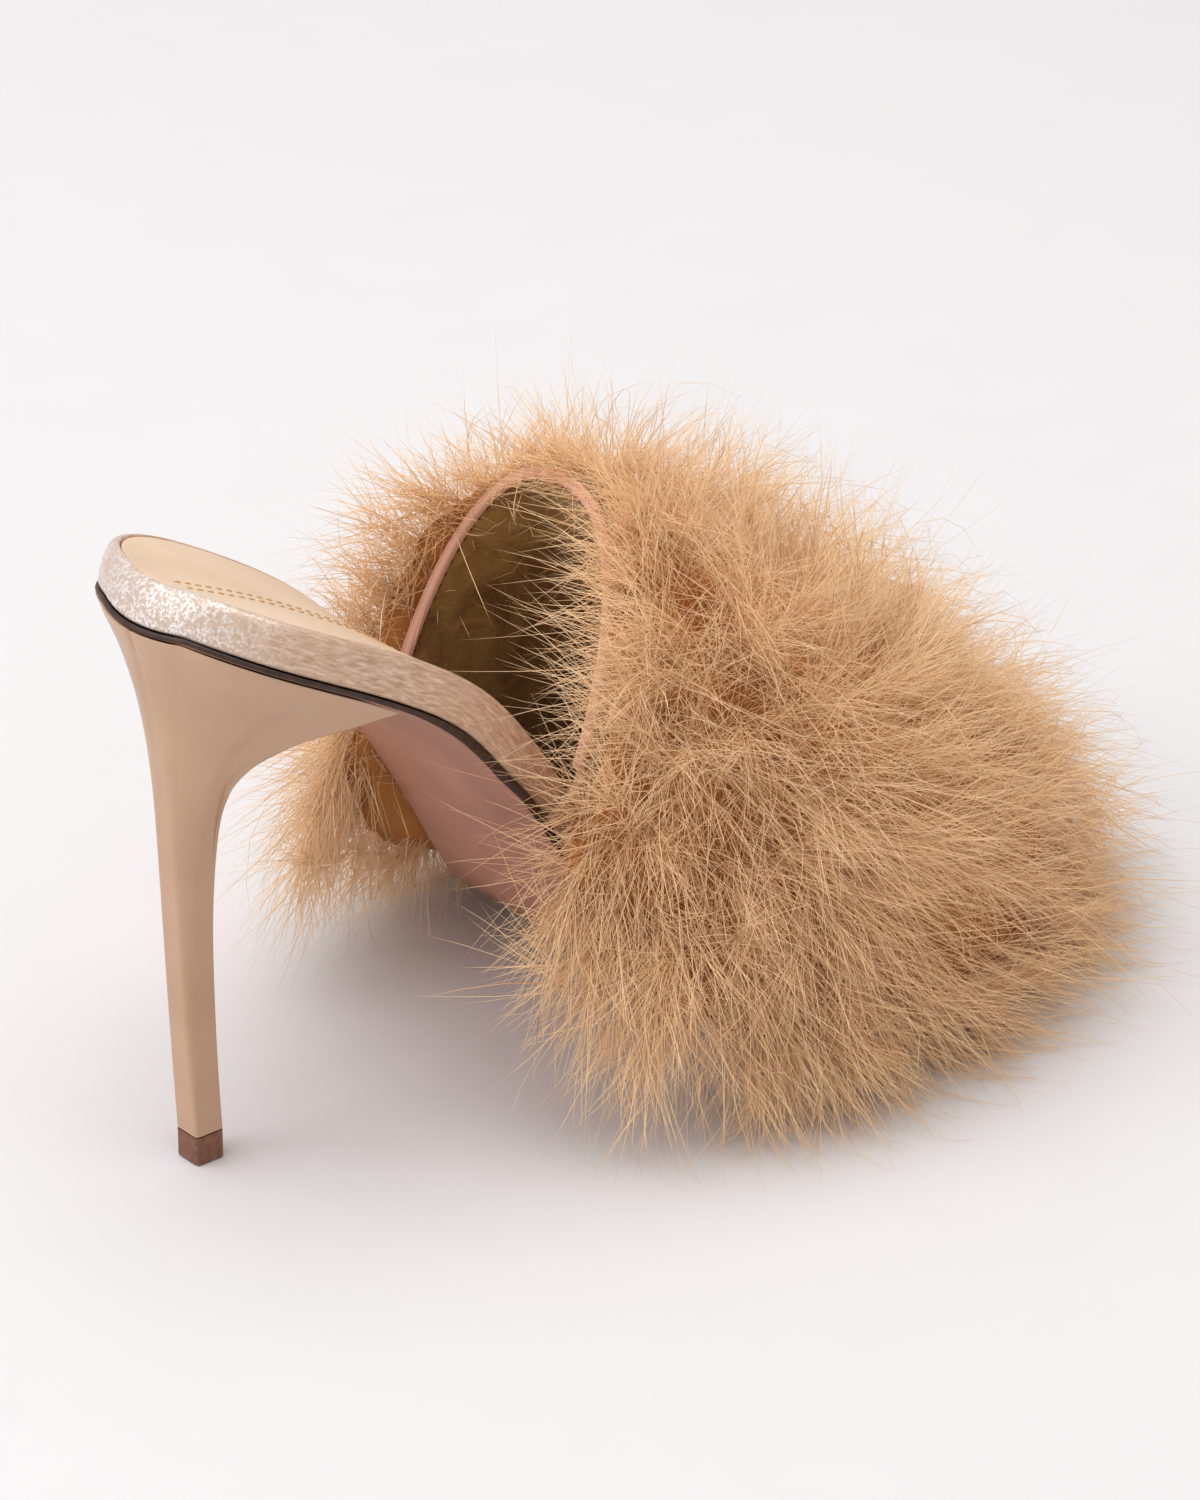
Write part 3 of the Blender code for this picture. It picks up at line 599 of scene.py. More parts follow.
def rand_leather():
    """Kid leather with a crushed metallic foil finish: silvery sparkle at the seat, fading forward
    into fine slanting creases over a warm beige. The foil flakes are real, but their near-white colour and the
    silvery tint are kept to the seat as painted glints and painted reflection where the highlights fall. Its flakes
    are 0.4 mm, about as fine as shows."""
    made, tree, shader = new_material("crushed_foil_leather_painted_glints", IOR=1.5)
    flat = add(tree, "ShaderNodeAttribute", attribute_name="flat").outputs["Vector"]
    place = add(tree, "ShaderNodeSeparateXYZ", {0: flat})
    edge = add(
        tree, "ShaderNodeMapping",
        {"Vector": flat, "Rotation": (0, 0, math.radians(-62)), "Scale": (1 / (3.4 * MM), 1 / (0.42 * MM), 0)},
    )
    creases = add(
        tree, "ShaderNodeTexNoise",
        {"Vector": edge.outputs[0], "Scale": 1.0, "Detail": 5.0, "Roughness": 0.65, "Distortion": 0.4},
    )
    where = add(tree, "ShaderNodeTexCoord").outputs["Object"]
    flakes = add(tree, "ShaderNodeTexVoronoi", {"Vector": where, "Scale": 1 / (0.42 * MM)})
    shine = add(tree, "ShaderNodeSeparateColor", {0: flakes.outputs["Color"]})
    patches = add(tree, "ShaderNodeTexNoise", {"Vector": where, "Scale": 1 / (2.4 * MM), "Detail": 2.0})
    # Painted glints and painted reflection: this mask keeps the silvery tint and the near-white flakes to the seat,
    # fading out forward.
    seat = add(
        tree, "ShaderNodeMapRange",
        {"Value": place.outputs["X"], "From Min": 6 * MM, "From Max": 36 * MM, "To Min": 1.0, "To Max": 0.06},
        interpolation_type="SMOOTHSTEP",
    )
    sparkle = add(
        tree, "ShaderNodeMath",
        {0: shine.outputs[0], 1: patches.outputs["Fac"]}, operation="MULTIPLY",
    )
    bright = add(
        tree, "ShaderNodeMapRange",
        {"Value": sparkle.outputs[0], "From Min": 0.2, "From Max": 0.42},
    )
    # How much near-white flake shows: real foil flakes, kept to the seat as painted glints.
    painted_glint_amount = add(tree, "ShaderNodeMath", {0: bright.outputs[0], 1: seat.outputs[0]}, operation="MULTIPLY")
    beige = add(
        tree, "ShaderNodeValToRGB", {"Fac": creases.outputs["Fac"]},
        stops=((0.32, "#B18A6D"), (0.5, "#CEAA8D"), (0.68, "#E8CDB5")),
    )
    # Silvery tint at the seat: painted reflection.
    silvered_painted_reflection = add(
        tree, "ShaderNodeMix",
        {0: seat.outputs[0], 6: beige.outputs["Color"], 7: linear("#C8B3A4")}, data_type="RGBA",
    )
    colour = add(
        tree, "ShaderNodeMix",
        {0: painted_glint_amount.outputs[0], 6: silvered_painted_reflection.outputs[2], 7: linear("#F3EAE6")}, data_type="RGBA",
    )
    tree.links.new(colour.outputs[2], shader.inputs["Base Color"])
    metal = add(
        tree, "ShaderNodeMapRange",
        {"Value": painted_glint_amount.outputs[0], "To Min": 0.22, "To Max": 0.75},
    )
    tree.links.new(metal.outputs[0], shader.inputs["Metallic"])
    rough = add(
        tree, "ShaderNodeMapRange",
        {"Value": shine.outputs[1], "To Min": 0.28, "To Max": 0.5},
    )
    tree.links.new(rough.outputs[0], shader.inputs["Roughness"])
    height = add(
        tree, "ShaderNodeMath",
        {0: creases.outputs["Fac"], 1: shine.outputs[2], 2: 0.0}, operation="MULTIPLY_ADD",
    )
    tree.links.new(creases.outputs["Fac"], height.inputs[2])
    bump = add(
        tree, "ShaderNodeBump",
        {"Height": height.outputs[0], "Strength": 0.45, "Distance": 0.12 * MM},
    )
    tree.links.new(bump.outputs["Normal"], shader.inputs["Normal"])
    return made


def suede():
    """Kid suede, the flesh side buffed to a short nap that brushes lighter and darker in patches."""
    made, tree, shader = new_material(
        "olive_kid_suede", Roughness=0.95, IOR=1.4, Sheen_Weight=0.25, Sheen_Roughness=0.5,
    )
    where = add(tree, "ShaderNodeTexCoord").outputs["Object"]
    brushed = add(
        tree, "ShaderNodeTexNoise",
        {"Vector": where, "Scale": 1 / (9 * MM), "Detail": 5.0, "Roughness": 0.62, "Distortion": 0.8},
    )
    nap = add(tree, "ShaderNodeTexNoise", {"Vector": where, "Scale": 1 / (0.5 * MM), "Detail": 3.0})
    both = add(
        tree, "ShaderNodeMath",
        {0: nap.outputs["Fac"], 1: 0.3, 2: brushed.outputs["Fac"]}, operation="MULTIPLY_ADD",
    )
    tint = add(
        tree, "ShaderNodeValToRGB", {"Fac": both.outputs[0]},
        stops=((0.45, "#6B4A1E"), (0.62, "#937038"), (0.82, "#B08D52")),
    )
    tree.links.new(tint.outputs["Color"], shader.inputs["Base Color"])
    bump = add(
        tree, "ShaderNodeBump",
        {"Height": nap.outputs["Fac"], "Strength": 0.35, "Distance": 0.15 * MM},
    )
    tree.links.new(bump.outputs["Normal"], shader.inputs["Normal"])
    return made


def painted_edge():
    """Cut leather edge, sanded and covered with dark edge paint, nearly smooth."""
    made, tree, shader = new_material("painted_leather_edge", Roughness=0.5, IOR=1.5)
    where = add(tree, "ShaderNodeTexCoord").outputs["Object"]
    streaks = add(tree, "ShaderNodeTexNoise", {"Vector": where, "Scale": 1 / (1.6 * MM), "Detail": 4.0})
    tint = add(
        tree, "ShaderNodeValToRGB", {"Fac": streaks.outputs["Fac"]},
        stops=((0.35, "#241109"), (0.7, "#43271A")),
    )
    tree.links.new(tint.outputs["Color"], shader.inputs["Base Color"])
    return made


def tip_rubber():
    """Moulded rubber of the heel tip, matt and barely mottled."""
    made, tree, shader = new_material("moulded_tip_rubber", Roughness=0.55, IOR=1.5)
    where = add(tree, "ShaderNodeTexCoord").outputs["Object"]
    mottle = add(tree, "ShaderNodeTexNoise", {"Vector": where, "Scale": 1 / (1.1 * MM), "Detail": 5.0})
    tint = add(
        tree, "ShaderNodeValToRGB", {"Fac": mottle.outputs["Fac"]},
        stops=((0.3, "#6E4330"), (0.7, "#875A43")),
    )
    tree.links.new(tint.outputs["Color"], shader.inputs["Base Color"])
    bump = add(
        tree, "ShaderNodeBump",
        {"Height": mottle.outputs["Fac"], "Strength": 0.2, "Distance": 0.05 * MM},
    )
    tree.links.new(bump.outputs["Normal"], shader.inputs["Normal"])
    return made


def thread(name, colour, deep):
    """Twisted polyester sewing thread: two tones where its plies turn."""
    made, tree, shader = new_material(name, Roughness=0.6, IOR=1.5)
    where = add(tree, "ShaderNodeTexCoord").outputs["Object"]
    plies = add(tree, "ShaderNodeTexNoise", {"Vector": where, "Scale": 1 / (0.35 * MM), "Detail": 2.0})
    tint = add(
        tree, "ShaderNodeValToRGB", {"Fac": plies.outputs["Fac"]}, stops=((0.35, deep), (0.65, colour)),
    )
    tree.links.new(tint.outputs["Color"], shader.inputs["Base Color"])
    return made


def plume(name, stops):
    """Dyed marabou: soft matt barbs, darker and warmer down by the quill and paler towards their ends, the darkening
    being painted depth shade inside the plumes.
    """
    made, tree, shader = new_material(
        name, Roughness=0.75, IOR=1.3, Sheen_Weight=0.12, Sheen_Roughness=0.4,
    )
    shader.inputs["Sheen Tint"].default_value = linear("#FFC890")
    # run goes from the root to the end of a hair: the ramp on it paints depth shade at the roots.
    run = add(tree, "ShaderNodeAttribute", attribute_name="run").outputs["Fac"]
    tone_and_shade = add(tree, "ShaderNodeAttribute", attribute_name="tone_and_shade").outputs["Fac"]
    place = add(tree, "ShaderNodeMath", {0: tone_and_shade, 1: run}, operation="ADD")
    tint = add(tree, "ShaderNodeValToRGB", {"Fac": place.outputs[0]}, stops=stops)
    tree.links.new(tint.outputs["Color"], shader.inputs["Base Color"])
    return made


def floor_paper():
    """Smooth matt background paper, off-white."""
    made, tree, shader = new_material("background_paper", Roughness=0.9, IOR=1.4)
    where = add(tree, "ShaderNodeTexCoord").outputs["Object"]
    fibres = add(tree, "ShaderNodeTexNoise", {"Vector": where, "Scale": 40.0, "Detail": 2.0})
    tint = add(
        tree, "ShaderNodeValToRGB", {"Fac": fibres.outputs["Fac"]},
        stops=((0.2, "#DCDADC"), (0.8, "#DEDCDE")),
    )
    tree.links.new(tint.outputs["Color"], shader.inputs["Base Color"])
    return made


RAND = rand_leather()
EDGE = painted_edge()
SUEDE = suede()
HEEL_COVER = smooth_leather("satin_heel_leather", "#C7A386", "#BC9679", roughness=0.36)
SOCK_LEATHER = smooth_leather("pale_sock_leather", "#E3C7AA", "#DABA9B", roughness=0.5, relief=0.1)
SOLE_LEATHER = smooth_leather("blush_sole_leather", "#B27D67", "#A16C56", roughness=0.48, relief=0.12)
VAMP_LEATHER = smooth_leather("beige_vamp_leather", "#C9A68A", "#BD987A", roughness=0.46)
BINDING_LEATHER = smooth_leather("blush_binding_leather", "#DDAE98", "#CF9A84", roughness=0.5)
SOCK_THREAD = thread("pale_sewing_thread", "#D9B27E", "#B98F5C")
WHIP_THREAD = thread("dark_sewing_thread", "#4A3222", "#2C1B12")
# Dark by the quill, pale at the ends: painted depth shade down in the plumes.
PLUME_STOPS_PAINTED_SHADE = ((0.0, "#A45A22"), (0.35, "#F0A25C"), (0.7, "#FFC286"), (1.0, "#FFD9AC"))
PLUMES = plume("honey_marabou", PLUME_STOPS_PAINTED_SHADE)


# The sole.


def vamp_spread(station):
    """How far the outsole widens to lie under the vamp's lower edge."""
    ease = 8 * MM
    back = np.clip((station - VAMP_BACK_STATION + 2 * ease) / ease, 0, 1)
    front = np.clip((VAMP_FRONT_STATION + 2 * ease - station) / ease, 0, 1)
    rise = back * back * (3 - 2 * back) * front * front * (3 - 2 * front)
    return (VAMP_CLEARANCE + RAND_BULGE + VAMP_WALL) * rise


def make_sole():
    spread = vamp_spread(OUTLINE_LOOP[:, 0])
    rings = (
        (1.0 * MM - spread, lambda s: 0 * s),
        (0.6 * MM - spread, lambda s: 0.02 * sole_top(s)),
        (0.2 * MM - spread, lambda s: 0.1 * sole_top(s)),
        (-spread, lambda s: 0.3 * sole_top(s)),
        (-spread, lambda s: 0.8 * sole_top(s)),
        (0.15 * MM - spread, sole_top),
    )
    outsole = sole_layer("outsole_leather", rings, [SOLE_LEATHER, EDGE], (0, 0, 1, 1, 1), (0, 1))
    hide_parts("outsole")

    recess = SOCK_THICKNESS + GAP
    turns = [(angle, math.radians(angle)) for angle in (0, 20, 40, 60, 80, 90)]
    rings = [
        (0.5 * MM, rand_bottom),
        (0.15 * MM, lambda s: rand_bottom(s) + 0.25 * MM),
        (-0.02 * MM, lambda s: rand_bottom(s) + 0.8 * MM),
        (-RAND_BULGE, lambda s: 0.5 * (rand_bottom(s) + rand_top(s))),
    ]
    for _, turn in turns:
        inset = (RAND_LIP - 0.2 * MM) * (1 - math.cos(turn))
        drop = 1.7 * MM * (1 - math.sin(turn))
        rings.append((inset, lambda s, drop=drop: rand_top(s) - drop))
    rings.append((RAND_LIP, lambda s: rand_top(s) - 0.2 * MM))
    rings.append((RAND_LIP, lambda s: rand_top(s) - recess))
    platform = sole_layer(
        "insole_rand", rings, [RAND, BINDING_LEATHER], [0] * (len(rings) - 2) + [1], (0, 1),
    )
    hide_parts("insole_platform")

    reach = RAND_LIP + GAP
    rings = (
        (reach + 0.1 * MM, lambda s: rand_top(s) - SOCK_THICKNESS),
        (reach, lambda s: rand_top(s) - 0.6 * SOCK_THICKNESS),
        (reach + 0.08 * MM, lambda s: rand_top(s) - 0.25 * SOCK_THICKNESS),
        (reach + 0.25 * MM, lambda s: rand_top(s) - 0.06 * SOCK_THICKNESS),
        (reach + 0.6 * MM, rand_top),
    )
    sock = sole_layer("sock_leather", rings, [SOCK_LEATHER], (0, 0, 0, 0))
    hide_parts("sock_lining")


# The heel.


def rounded_square(angle, side):
    """A point of a square with tight rounded corners, by its direction from the middle."""
    tight = 0.2
    c, s = np.cos(angle), np.sin(angle)
    return side / 2 * np.stack([np.sign(c) * abs(c) ** tight, np.sign(s) * abs(s) ** tight], axis=-1)


def make_heel():
    """The seat with its two wings, flaring down into a slim square stem."""
    round_back = np.linspace(0, 1, HEEL_STEPS + 1)
    turn = 1 - np.abs(2 * round_back - 1)
    side = np.where(round_back < 0.5, -1, 1)
    station = WING_STATION * (1 - np.sin(turn * math.pi / 2) ** 1.2)
    outer = np.stack([station, edge_at(station, HEEL_SET_IN, side)], axis=-1)
    outer[HEEL_STEPS // 2] = (HEEL_SET_IN, middle(0.0))
    across = np.linspace(outer[0, 1], outer[-1, 1], HEEL_STEPS + 1)
    to_side = np.abs(across) / np.abs(outer[0, 1])
    front = np.stack([BREAST_STATION + (WING_STATION - BREAST_STATION) * to_side**2.2, across], axis=-1)
    wall_top = on_sole(outer[:, 0], outer[:, 1], -GAP)
    breast_top = on_sole(front[:, 0], front[:, 1], -GAP)
    foot = TIP_HEIGHT + GAP
    behind = rounded_square(-math.pi / 4 - round_back * 1.5 * math.pi, TIP_SIDE)
    ahead = rounded_square((round_back - 0.5) * math.pi / 2, TIP_SIDE)
    back_turn = np.sin(turn * math.pi / 2)
    walls, breasts = [], []
    for _, back_drop, corner_drop, back, corner, sides, breast_in in even_rows(HEEL_FLARE, HEEL_ROWS):
        drop = corner_drop + (back_drop - corner_drop) * back_turn
        along = corner + (back - corner) * back_turn
        x = wall_top[:, 0] + (behind[:, 0] - wall_top[:, 0]) * along - STEM_LEAN * drop * (1 - drop) * 4
        y = wall_top[:, 1] + (behind[:, 1] - wall_top[:, 1]) * sides
        walls.append(np.stack([x, y, wall_top[:, 2] + (foot - wall_top[:, 2]) * drop], axis=-1))
        inward = breast_in + (corner - breast_in) * to_side**2.2
        lean = STEM_LEAN * corner_drop * (1 - corner_drop) * 4
        x = breast_top[:, 0] + (ahead[:, 0] - breast_top[:, 0]) * inward - lean
        y = breast_top[:, 1] + (ahead[:, 1] - breast_top[:, 1]) * sides
        z = breast_top[:, 2] + (foot - breast_top[:, 2]) * corner_drop
        breasts.append(np.stack([x, y, z], axis=-1))
    walls, breasts = np.array(walls), np.array(breasts)
    count = walls.shape[0] * walls.shape[1]
    wall_numbers = np.arange(count).reshape(walls.shape[:2])
    breast_numbers = wall_numbers + count
    breast_numbers[:, [0, -1]] = wall_numbers[:, [0, -1]]
    points = [walls.reshape(-1, 3), breasts.reshape(-1, 3)]
    total = 2 * count
    cap = [wall_numbers[0]]
    for part in np.linspace(0, 1, FILL_COLUMNS)[1:-1]:
        between = outer + (front - outer) * part
        points.append(on_sole(between[:, 0], between[:, 1], -GAP))
        row = total + np.arange(len(between))
        total += len(between)
        row[[0, -1]] = wall_numbers[0, [0, -1]]
        cap.append(row)
    cap.append(breast_numbers[0])
    faces = np.concatenate([
        grid_faces(wall_numbers),
        grid_faces(breast_numbers),
        grid_faces(np.array(cap)),
        grid_faces(np.array([wall_numbers[-1], breast_numbers[-1]])),
    ])
    heel = make_piece("heel_cover", np.concatenate(points), faces, [HEEL_COVER], sharp=50)
    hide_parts("heel")
    nodes["heel_top_piece"].data.materials.clear()
    nodes["heel_top_piece"].data.materials.append(tip_rubber())


# The upper.


def vamp_arch(crown_run, crown_height, foot_run, clearance):
    """One section of the space over the foot, from the outer foot of the vamp to its inner foot."""
    station = VAMP_BACK_STATION + foot_run * (VAMP_FRONT_STATION - VAMP_BACK_STATION)
    inset = -(RAND_BULGE + VAMP_CLEARANCE + clearance)
    heights = np.linspace(rand_bottom(station), rand_top(station), SIDE_STEPS + 1)
    feet = [on_sole(station, edge_at(station, inset, side), heights) for side in (-1, 1)]
    crown = np.array([
        THROAT_X + crown_run * (VAMP_END_X - THROAT_X),
        middle(station) + CROWN_SHIFT,
        VAMP_END_Z + crown_height * (THROAT_Z - VAMP_END_Z),
    ])
    base = 0.5 * (feet[0][-1] + feet[1][-1])
    power = 2 / CROWN_FULLNESS
    angle = np.linspace(0, math.pi, ARCH_STEPS + 1)[1:-1]
    c, s = np.cos(angle), np.sin(angle)
    to_side = np.where((c > 0)[:, None], feet[0][-1] - base, feet[1][-1] - base)
    arch = base + (np.abs(c) ** power)[:, None] * to_side + (s**power)[:, None] * (crown - base)
    return np.concatenate([feet[0], arch, feet[1][::-1]])


def surface_normals(grid):
    normal = np.cross(np.gradient(grid, axis=1), np.gradient(grid, axis=0))
    normal /= np.maximum(np.linalg.norm(normal, axis=-1, keepdims=True), 1e-12)
    return -normal if normal[0, grid.shape[1] // 2, 2] < 0 else normal


VAMP_INSIDE = np.array([vamp_arch(*row, 0.0) for row in even_rows(VAMP_ROWS, VAMP_STEPS)])
VAMP_NORMAL = surface_normals(VAMP_INSIDE)


def make_upper():
    vamp = wall("vamp_leather", VAMP_INSIDE, VAMP_INSIDE + VAMP_WALL * VAMP_NORMAL, [SUEDE, VAMP_LEATHER], sharp=60)
    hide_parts("vamp")

    first, last = SIDE_STEPS + 1, VAMP_INSIDE.shape[1] - SIDE_STEPS - 1
    out = VAMP_NORMAL[0, first:last]
    edge = VAMP_INSIDE[0, first:last] + 0.5 * VAMP_WALL * out
    back = VAMP_INSIDE[0, first:last] - VAMP_INSIDE[1, first:last]
    run = np.gradient(edge, axis=0)
    run /= np.linalg.norm(run, axis=1, keepdims=True)
    for straight in (out, run):
        back -= straight * np.sum(back * straight, axis=1, keepdims=True)
    back /= np.linalg.norm(back, axis=1, keepdims=True)
    half = 0.5 * VAMP_WALL + BINDING_LAP
    section = [(-half, 0.0), (-half, 0.45)]
    section += [(-half * math.cos(t), 0.45 + 0.55 * math.sin(t)) for t in np.radians((25, 50, 75))]
    section += [(-0.1 * half, 1.0), (0.0, 0.9), (0.1 * half, 1.0)]
    section += [(half * math.cos(t), 0.45 + 0.55 * math.sin(t)) for t in np.radians((75, 50, 25))]
    section += [(half, 0.45), (half, 0.0)]
    rows = np.stack([
        edge + out * sideways + back * (GAP + rise * BINDING_HEIGHT) for sideways, rise in section
    ], axis=1)
    numbers = np.arange(rows.shape[0] * rows.shape[1]).reshape(rows.shape[:2])
    faces = [list(face) for face in grid_faces(numbers, around=True)]
    faces += [list(numbers[0]), list(numbers[-1])]
    binding = make_piece("binding_strip", rows.reshape(-1, 3), faces, [BINDING_LEATHER], sharp=50)
    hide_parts("topline_binding")
    return edge - out * (half + 0.02 * MM) + back * 0.1 * MM, back, -out


# Stitches, laid along a path with Geometry Nodes.


def stitch_tree(material):
    """Repeats a small rounded stitch along the path, lying along it or across it."""
    tree = bpy.data.node_groups.new("stitches_along_a_path", "GeometryNodeTree")
    face = tree.interface
    face.new_socket("Geometry", in_out="INPUT", socket_type="NodeSocketGeometry")
    for title in ("Step", "Stitch Length", "Stitch Thickness", "Turn"):
        face.new_socket(title, in_out="INPUT", socket_type="NodeSocketFloat")
    face.new_socket("Geometry", in_out="OUTPUT", socket_type="NodeSocketGeometry")
    given = add(tree, "NodeGroupInput")
    path = add(tree, "GeometryNodeMeshToCurve", {"Mesh": given.outputs["Geometry"]})
    evenly = add(
        tree, "GeometryNodeCurveToPoints",
        {"Curve": path.outputs[0], "Length": given.outputs["Step"]}, mode="LENGTH",
    )
    stitch = add(tree, "GeometryNodeMeshIcoSphere", {"Radius": 0.5, "Subdivisions": 2})
    sizes = add(
        tree, "ShaderNodeCombineXYZ",
        {
            "X": given.outputs["Stitch Thickness"],
            "Y": given.outputs["Stitch Thickness"],
            "Z": given.outputs["Stitch Length"],
        },
    )
    turn = add(
        tree, "FunctionNodeAxisAngleToRotation", {"Axis": (1, 0, 0), "Angle": given.outputs["Turn"]},
    )
    both = add(
        tree, "FunctionNodeRotateRotation",
        {"Rotation": evenly.outputs["Rotation"], "Rotate By": turn.outputs[0]}, rotation_space="LOCAL",
    )
    laid = add(
        tree, "GeometryNodeInstanceOnPoints",
        {
            "Points": evenly.outputs["Points"],
            "Instance": stitch.outputs["Mesh"],
            "Rotation": both.outputs[0],
            "Scale": sizes.outputs[0],
        },
    )
    real = add(tree, "GeometryNodeRealizeInstances", {0: laid.outputs[0]})
    smooth = add(tree, "GeometryNodeSetShadeSmooth", {0: real.outputs[0]})
    dyed = add(tree, "GeometryNodeSetMaterial", {"Geometry": smooth.outputs[0], "Material": material})
    add(tree, "NodeGroupOutput", {0: dyed.outputs[0]})
    return tree


def lay_stitches(name, paths, material, step, length, thickness, turn=0.0):
    tree = stitch_tree(material)
    mesh = bpy.data.meshes.new(name + "_path")
    points, edges = [], []
    for path in paths:
        first = len(points)
        points.extend(np.asarray(path).tolist())
        edges.extend((first + k, first + k + 1) for k in range(len(path) - 1))
    mesh.from_pydata(points, edges, [])
    guide = bpy.data.objects.new(name + "_path", mesh)
    bpy.context.collection.objects.link(guide)
    modifier = guide.modifiers.new("stitches", "NODES")
    modifier.node_group = tree
    sizes = {"Step": step, "Stitch Length": length, "Stitch Thickness": thickness, "Turn": turn}
    for item in tree.interface.items_tree:
        if item.in_out == "INPUT" and item.name in sizes:
            modifier[item.identifier] = sizes[item.name]
    graph = bpy.context.evaluated_depsgraph_get()
    made = bpy.data.objects.new(name, bpy.data.meshes.new_from_object(guide.evaluated_get(graph)))
    guide.modifiers.remove(modifier)
    bpy.data.objects.remove(guide)
    bpy.context.collection.objects.link(made)
    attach(made, "root")
    return made


def make_stitches(under_binding):
    stations = np.linspace(7 * MM, 150 * MM, 230)
    rows = []
    for side in (-0.5, 0.5):
        across = middle(stations) - SOCK_ROWS_ASIDE + side * SOCK_ROWS_APART
        rows.append(on_sole(stations, across, rand_top(stations) + 0.06 * MM))
    lay_stitches(
        "sock_stitches", rows, SOCK_THREAD,
        SOCK_STITCH_STEP, SOCK_STITCH_LENGTH, SOCK_STITCH_THICKNESS,
    )
    lay_stitches(
        "binding_stitches", [under_binding], WHIP_THREAD,
        WHIP_STITCH_STEP, WHIP_STITCH_LENGTH, WHIP_STITCH_THICKNESS,
    )


# The plumes.


def fur_lining():
    """The plumes' inside: just off the vamp, and on over the toe."""
    over_vamp = VAMP_INSIDE + (VAMP_WALL + FUR_GAP) * VAMP_NORMAL
    hood_rows = even_rows(TOE_HOOD, HOOD_STEPS)[1:]
    return np.concatenate([over_vamp, [vamp_arch(*row, VAMP_WALL + FUR_GAP) for row in hood_rows]])


def with_lobes(rows):
    """Lets both sides of the plumes puff out backwards over the edge of the throat."""
    row, column = np.indices(rows.shape[:2])
    near_back = np.clip(1 - row / (0.3 * len(rows)), 0, 1) ** 2
    place = 2 * column / (rows.shape[1] - 1) - 1
    off_crown = np.clip(1 - ((np.abs(place) - 0.6) / 0.4) ** 2, 0, 1)
    puff = (FUR_LOBE * near_back * off_crown)[..., None]
    way = np.stack([np.full(place.shape, -0.8), 0.5 * np.sign(place), np.full(place.shape, 0.35)], axis=-1)
    return rows + puff * way


def fur_outside():
    """The plumes' outside as arches that hang at both sides towards the floor."""
    columns = SIDE_STEPS + 1
    span = FUR_FRONT_X - FUR_BACK_X
    power = 2 / FUR_FULLNESS
    angle = np.linspace(0, math.pi, ARCH_STEPS + 1)[1:-1]
    c, s = np.cos(angle), np.sin(angle)
    drops = np.linspace(0, 1, columns)
    rows = []
    for place, side_run, crown_run, side_height, crown_height, fullness, hang in even_rows(
        FUR_ROWS, VAMP_STEPS + HOOD_STEPS
    ):
        side_x = FUR_BACK_X + side_run * span
        side_z = side_height * FUR_TOP
        y = TOE_DRIFT * np.clip(side_run, 0, 1)
        wide = {-1: FUR_OUTER_SIDE * fullness, 1: FUR_INNER_SIDE * fullness}
        low = side_z + (FUR_OFF_FLOOR - side_z) * hang
        sides = []
        for side in (-1, 1):
            reach = wide[side] * (1 - FUR_TUCK * (1 - drops) ** 2)
            height = low + (side_z - low) * drops
            trail = FUR_TRAIL * np.clip(1 - place / 6, 0, 1) * (1 - drops)
            sides.append(np.stack([side_x - trail, y + side * reach, height], axis=-1))
        base = np.array([side_x, y, side_z])
        crown = np.array([FUR_BACK_X + crown_run * span, y, crown_height * FUR_TOP])
        across = np.where(c > 0, -wide[-1], wide[1]) * np.abs(c) ** power
        arch = base + np.outer(across, (0, 1, 0)) + np.outer(s**power, crown - base)
        rows.append(np.concatenate([sides[0], arch, sides[1][::-1]]))
    return with_lobes(np.array(rows))


FUR_IN, FUR_OUT = fur_lining(), fur_outside()


def on_grid(grid, i, j):
    """A point of a layout by its shares along and across; a share past an end runs straight on."""
    rows, columns = grid.shape[:2]
    y, x = i * (rows - 1), j * (columns - 1)
    a = np.clip(np.floor(y), 0, rows - 2).astype(int)
    b = np.clip(np.floor(x), 0, columns - 2).astype(int)
    fy, fx = (y - a)[..., None], (x - b)[..., None]
    near = grid[a, b] * (1 - fx) + grid[a, b + 1] * fx
    far = grid[a + 1, b] * (1 - fx) + grid[a + 1, b + 1] * fx
    return near * (1 - fy) + far * fy


def in_fur(i, j, k):
    """A point in the plumes' space: shares from throat to toe, from outer to inner side, from vamp out."""
    inside = on_grid(FUR_IN, i, j)
    return inside + (on_grid(FUR_OUT, i, j) - inside) * k[..., None]


def spread_over(rng, count):
    """Places all over the outside, as dense on every part of it."""
    along, across = np.gradient(FUR_OUT, axis=0), np.gradient(FUR_OUT, axis=1)
    area = np.linalg.norm(np.cross(along, across), axis=-1)[:-1, :-1].ravel()
    cells = rng.choice(area.size, count, p=area / area.sum())
    rows, columns = FUR_OUT.shape[0] - 1, FUR_OUT.shape[1] - 1
    i = (cells // columns + rng.random(count)) / rows
    j = (cells % columns + rng.random(count)) / columns
    return i, j


def per_share(i, j):
    """Lengths of one whole share along and across at a place of the outside."""
    step = 0.01
    here = on_grid(FUR_OUT, i, j)
    along = np.linalg.norm(on_grid(FUR_OUT, i + step, j) - here, axis=-1) / step
    across = np.linalg.norm(on_grid(FUR_OUT, i, j + step) - here, axis=-1) / step
    return np.maximum(along, 30 * MM), np.maximum(across, 30 * MM)


WHORL_ALONG = 0.25
WHORL_ACROSS = 0.22
CRATER = 18.0 * MM


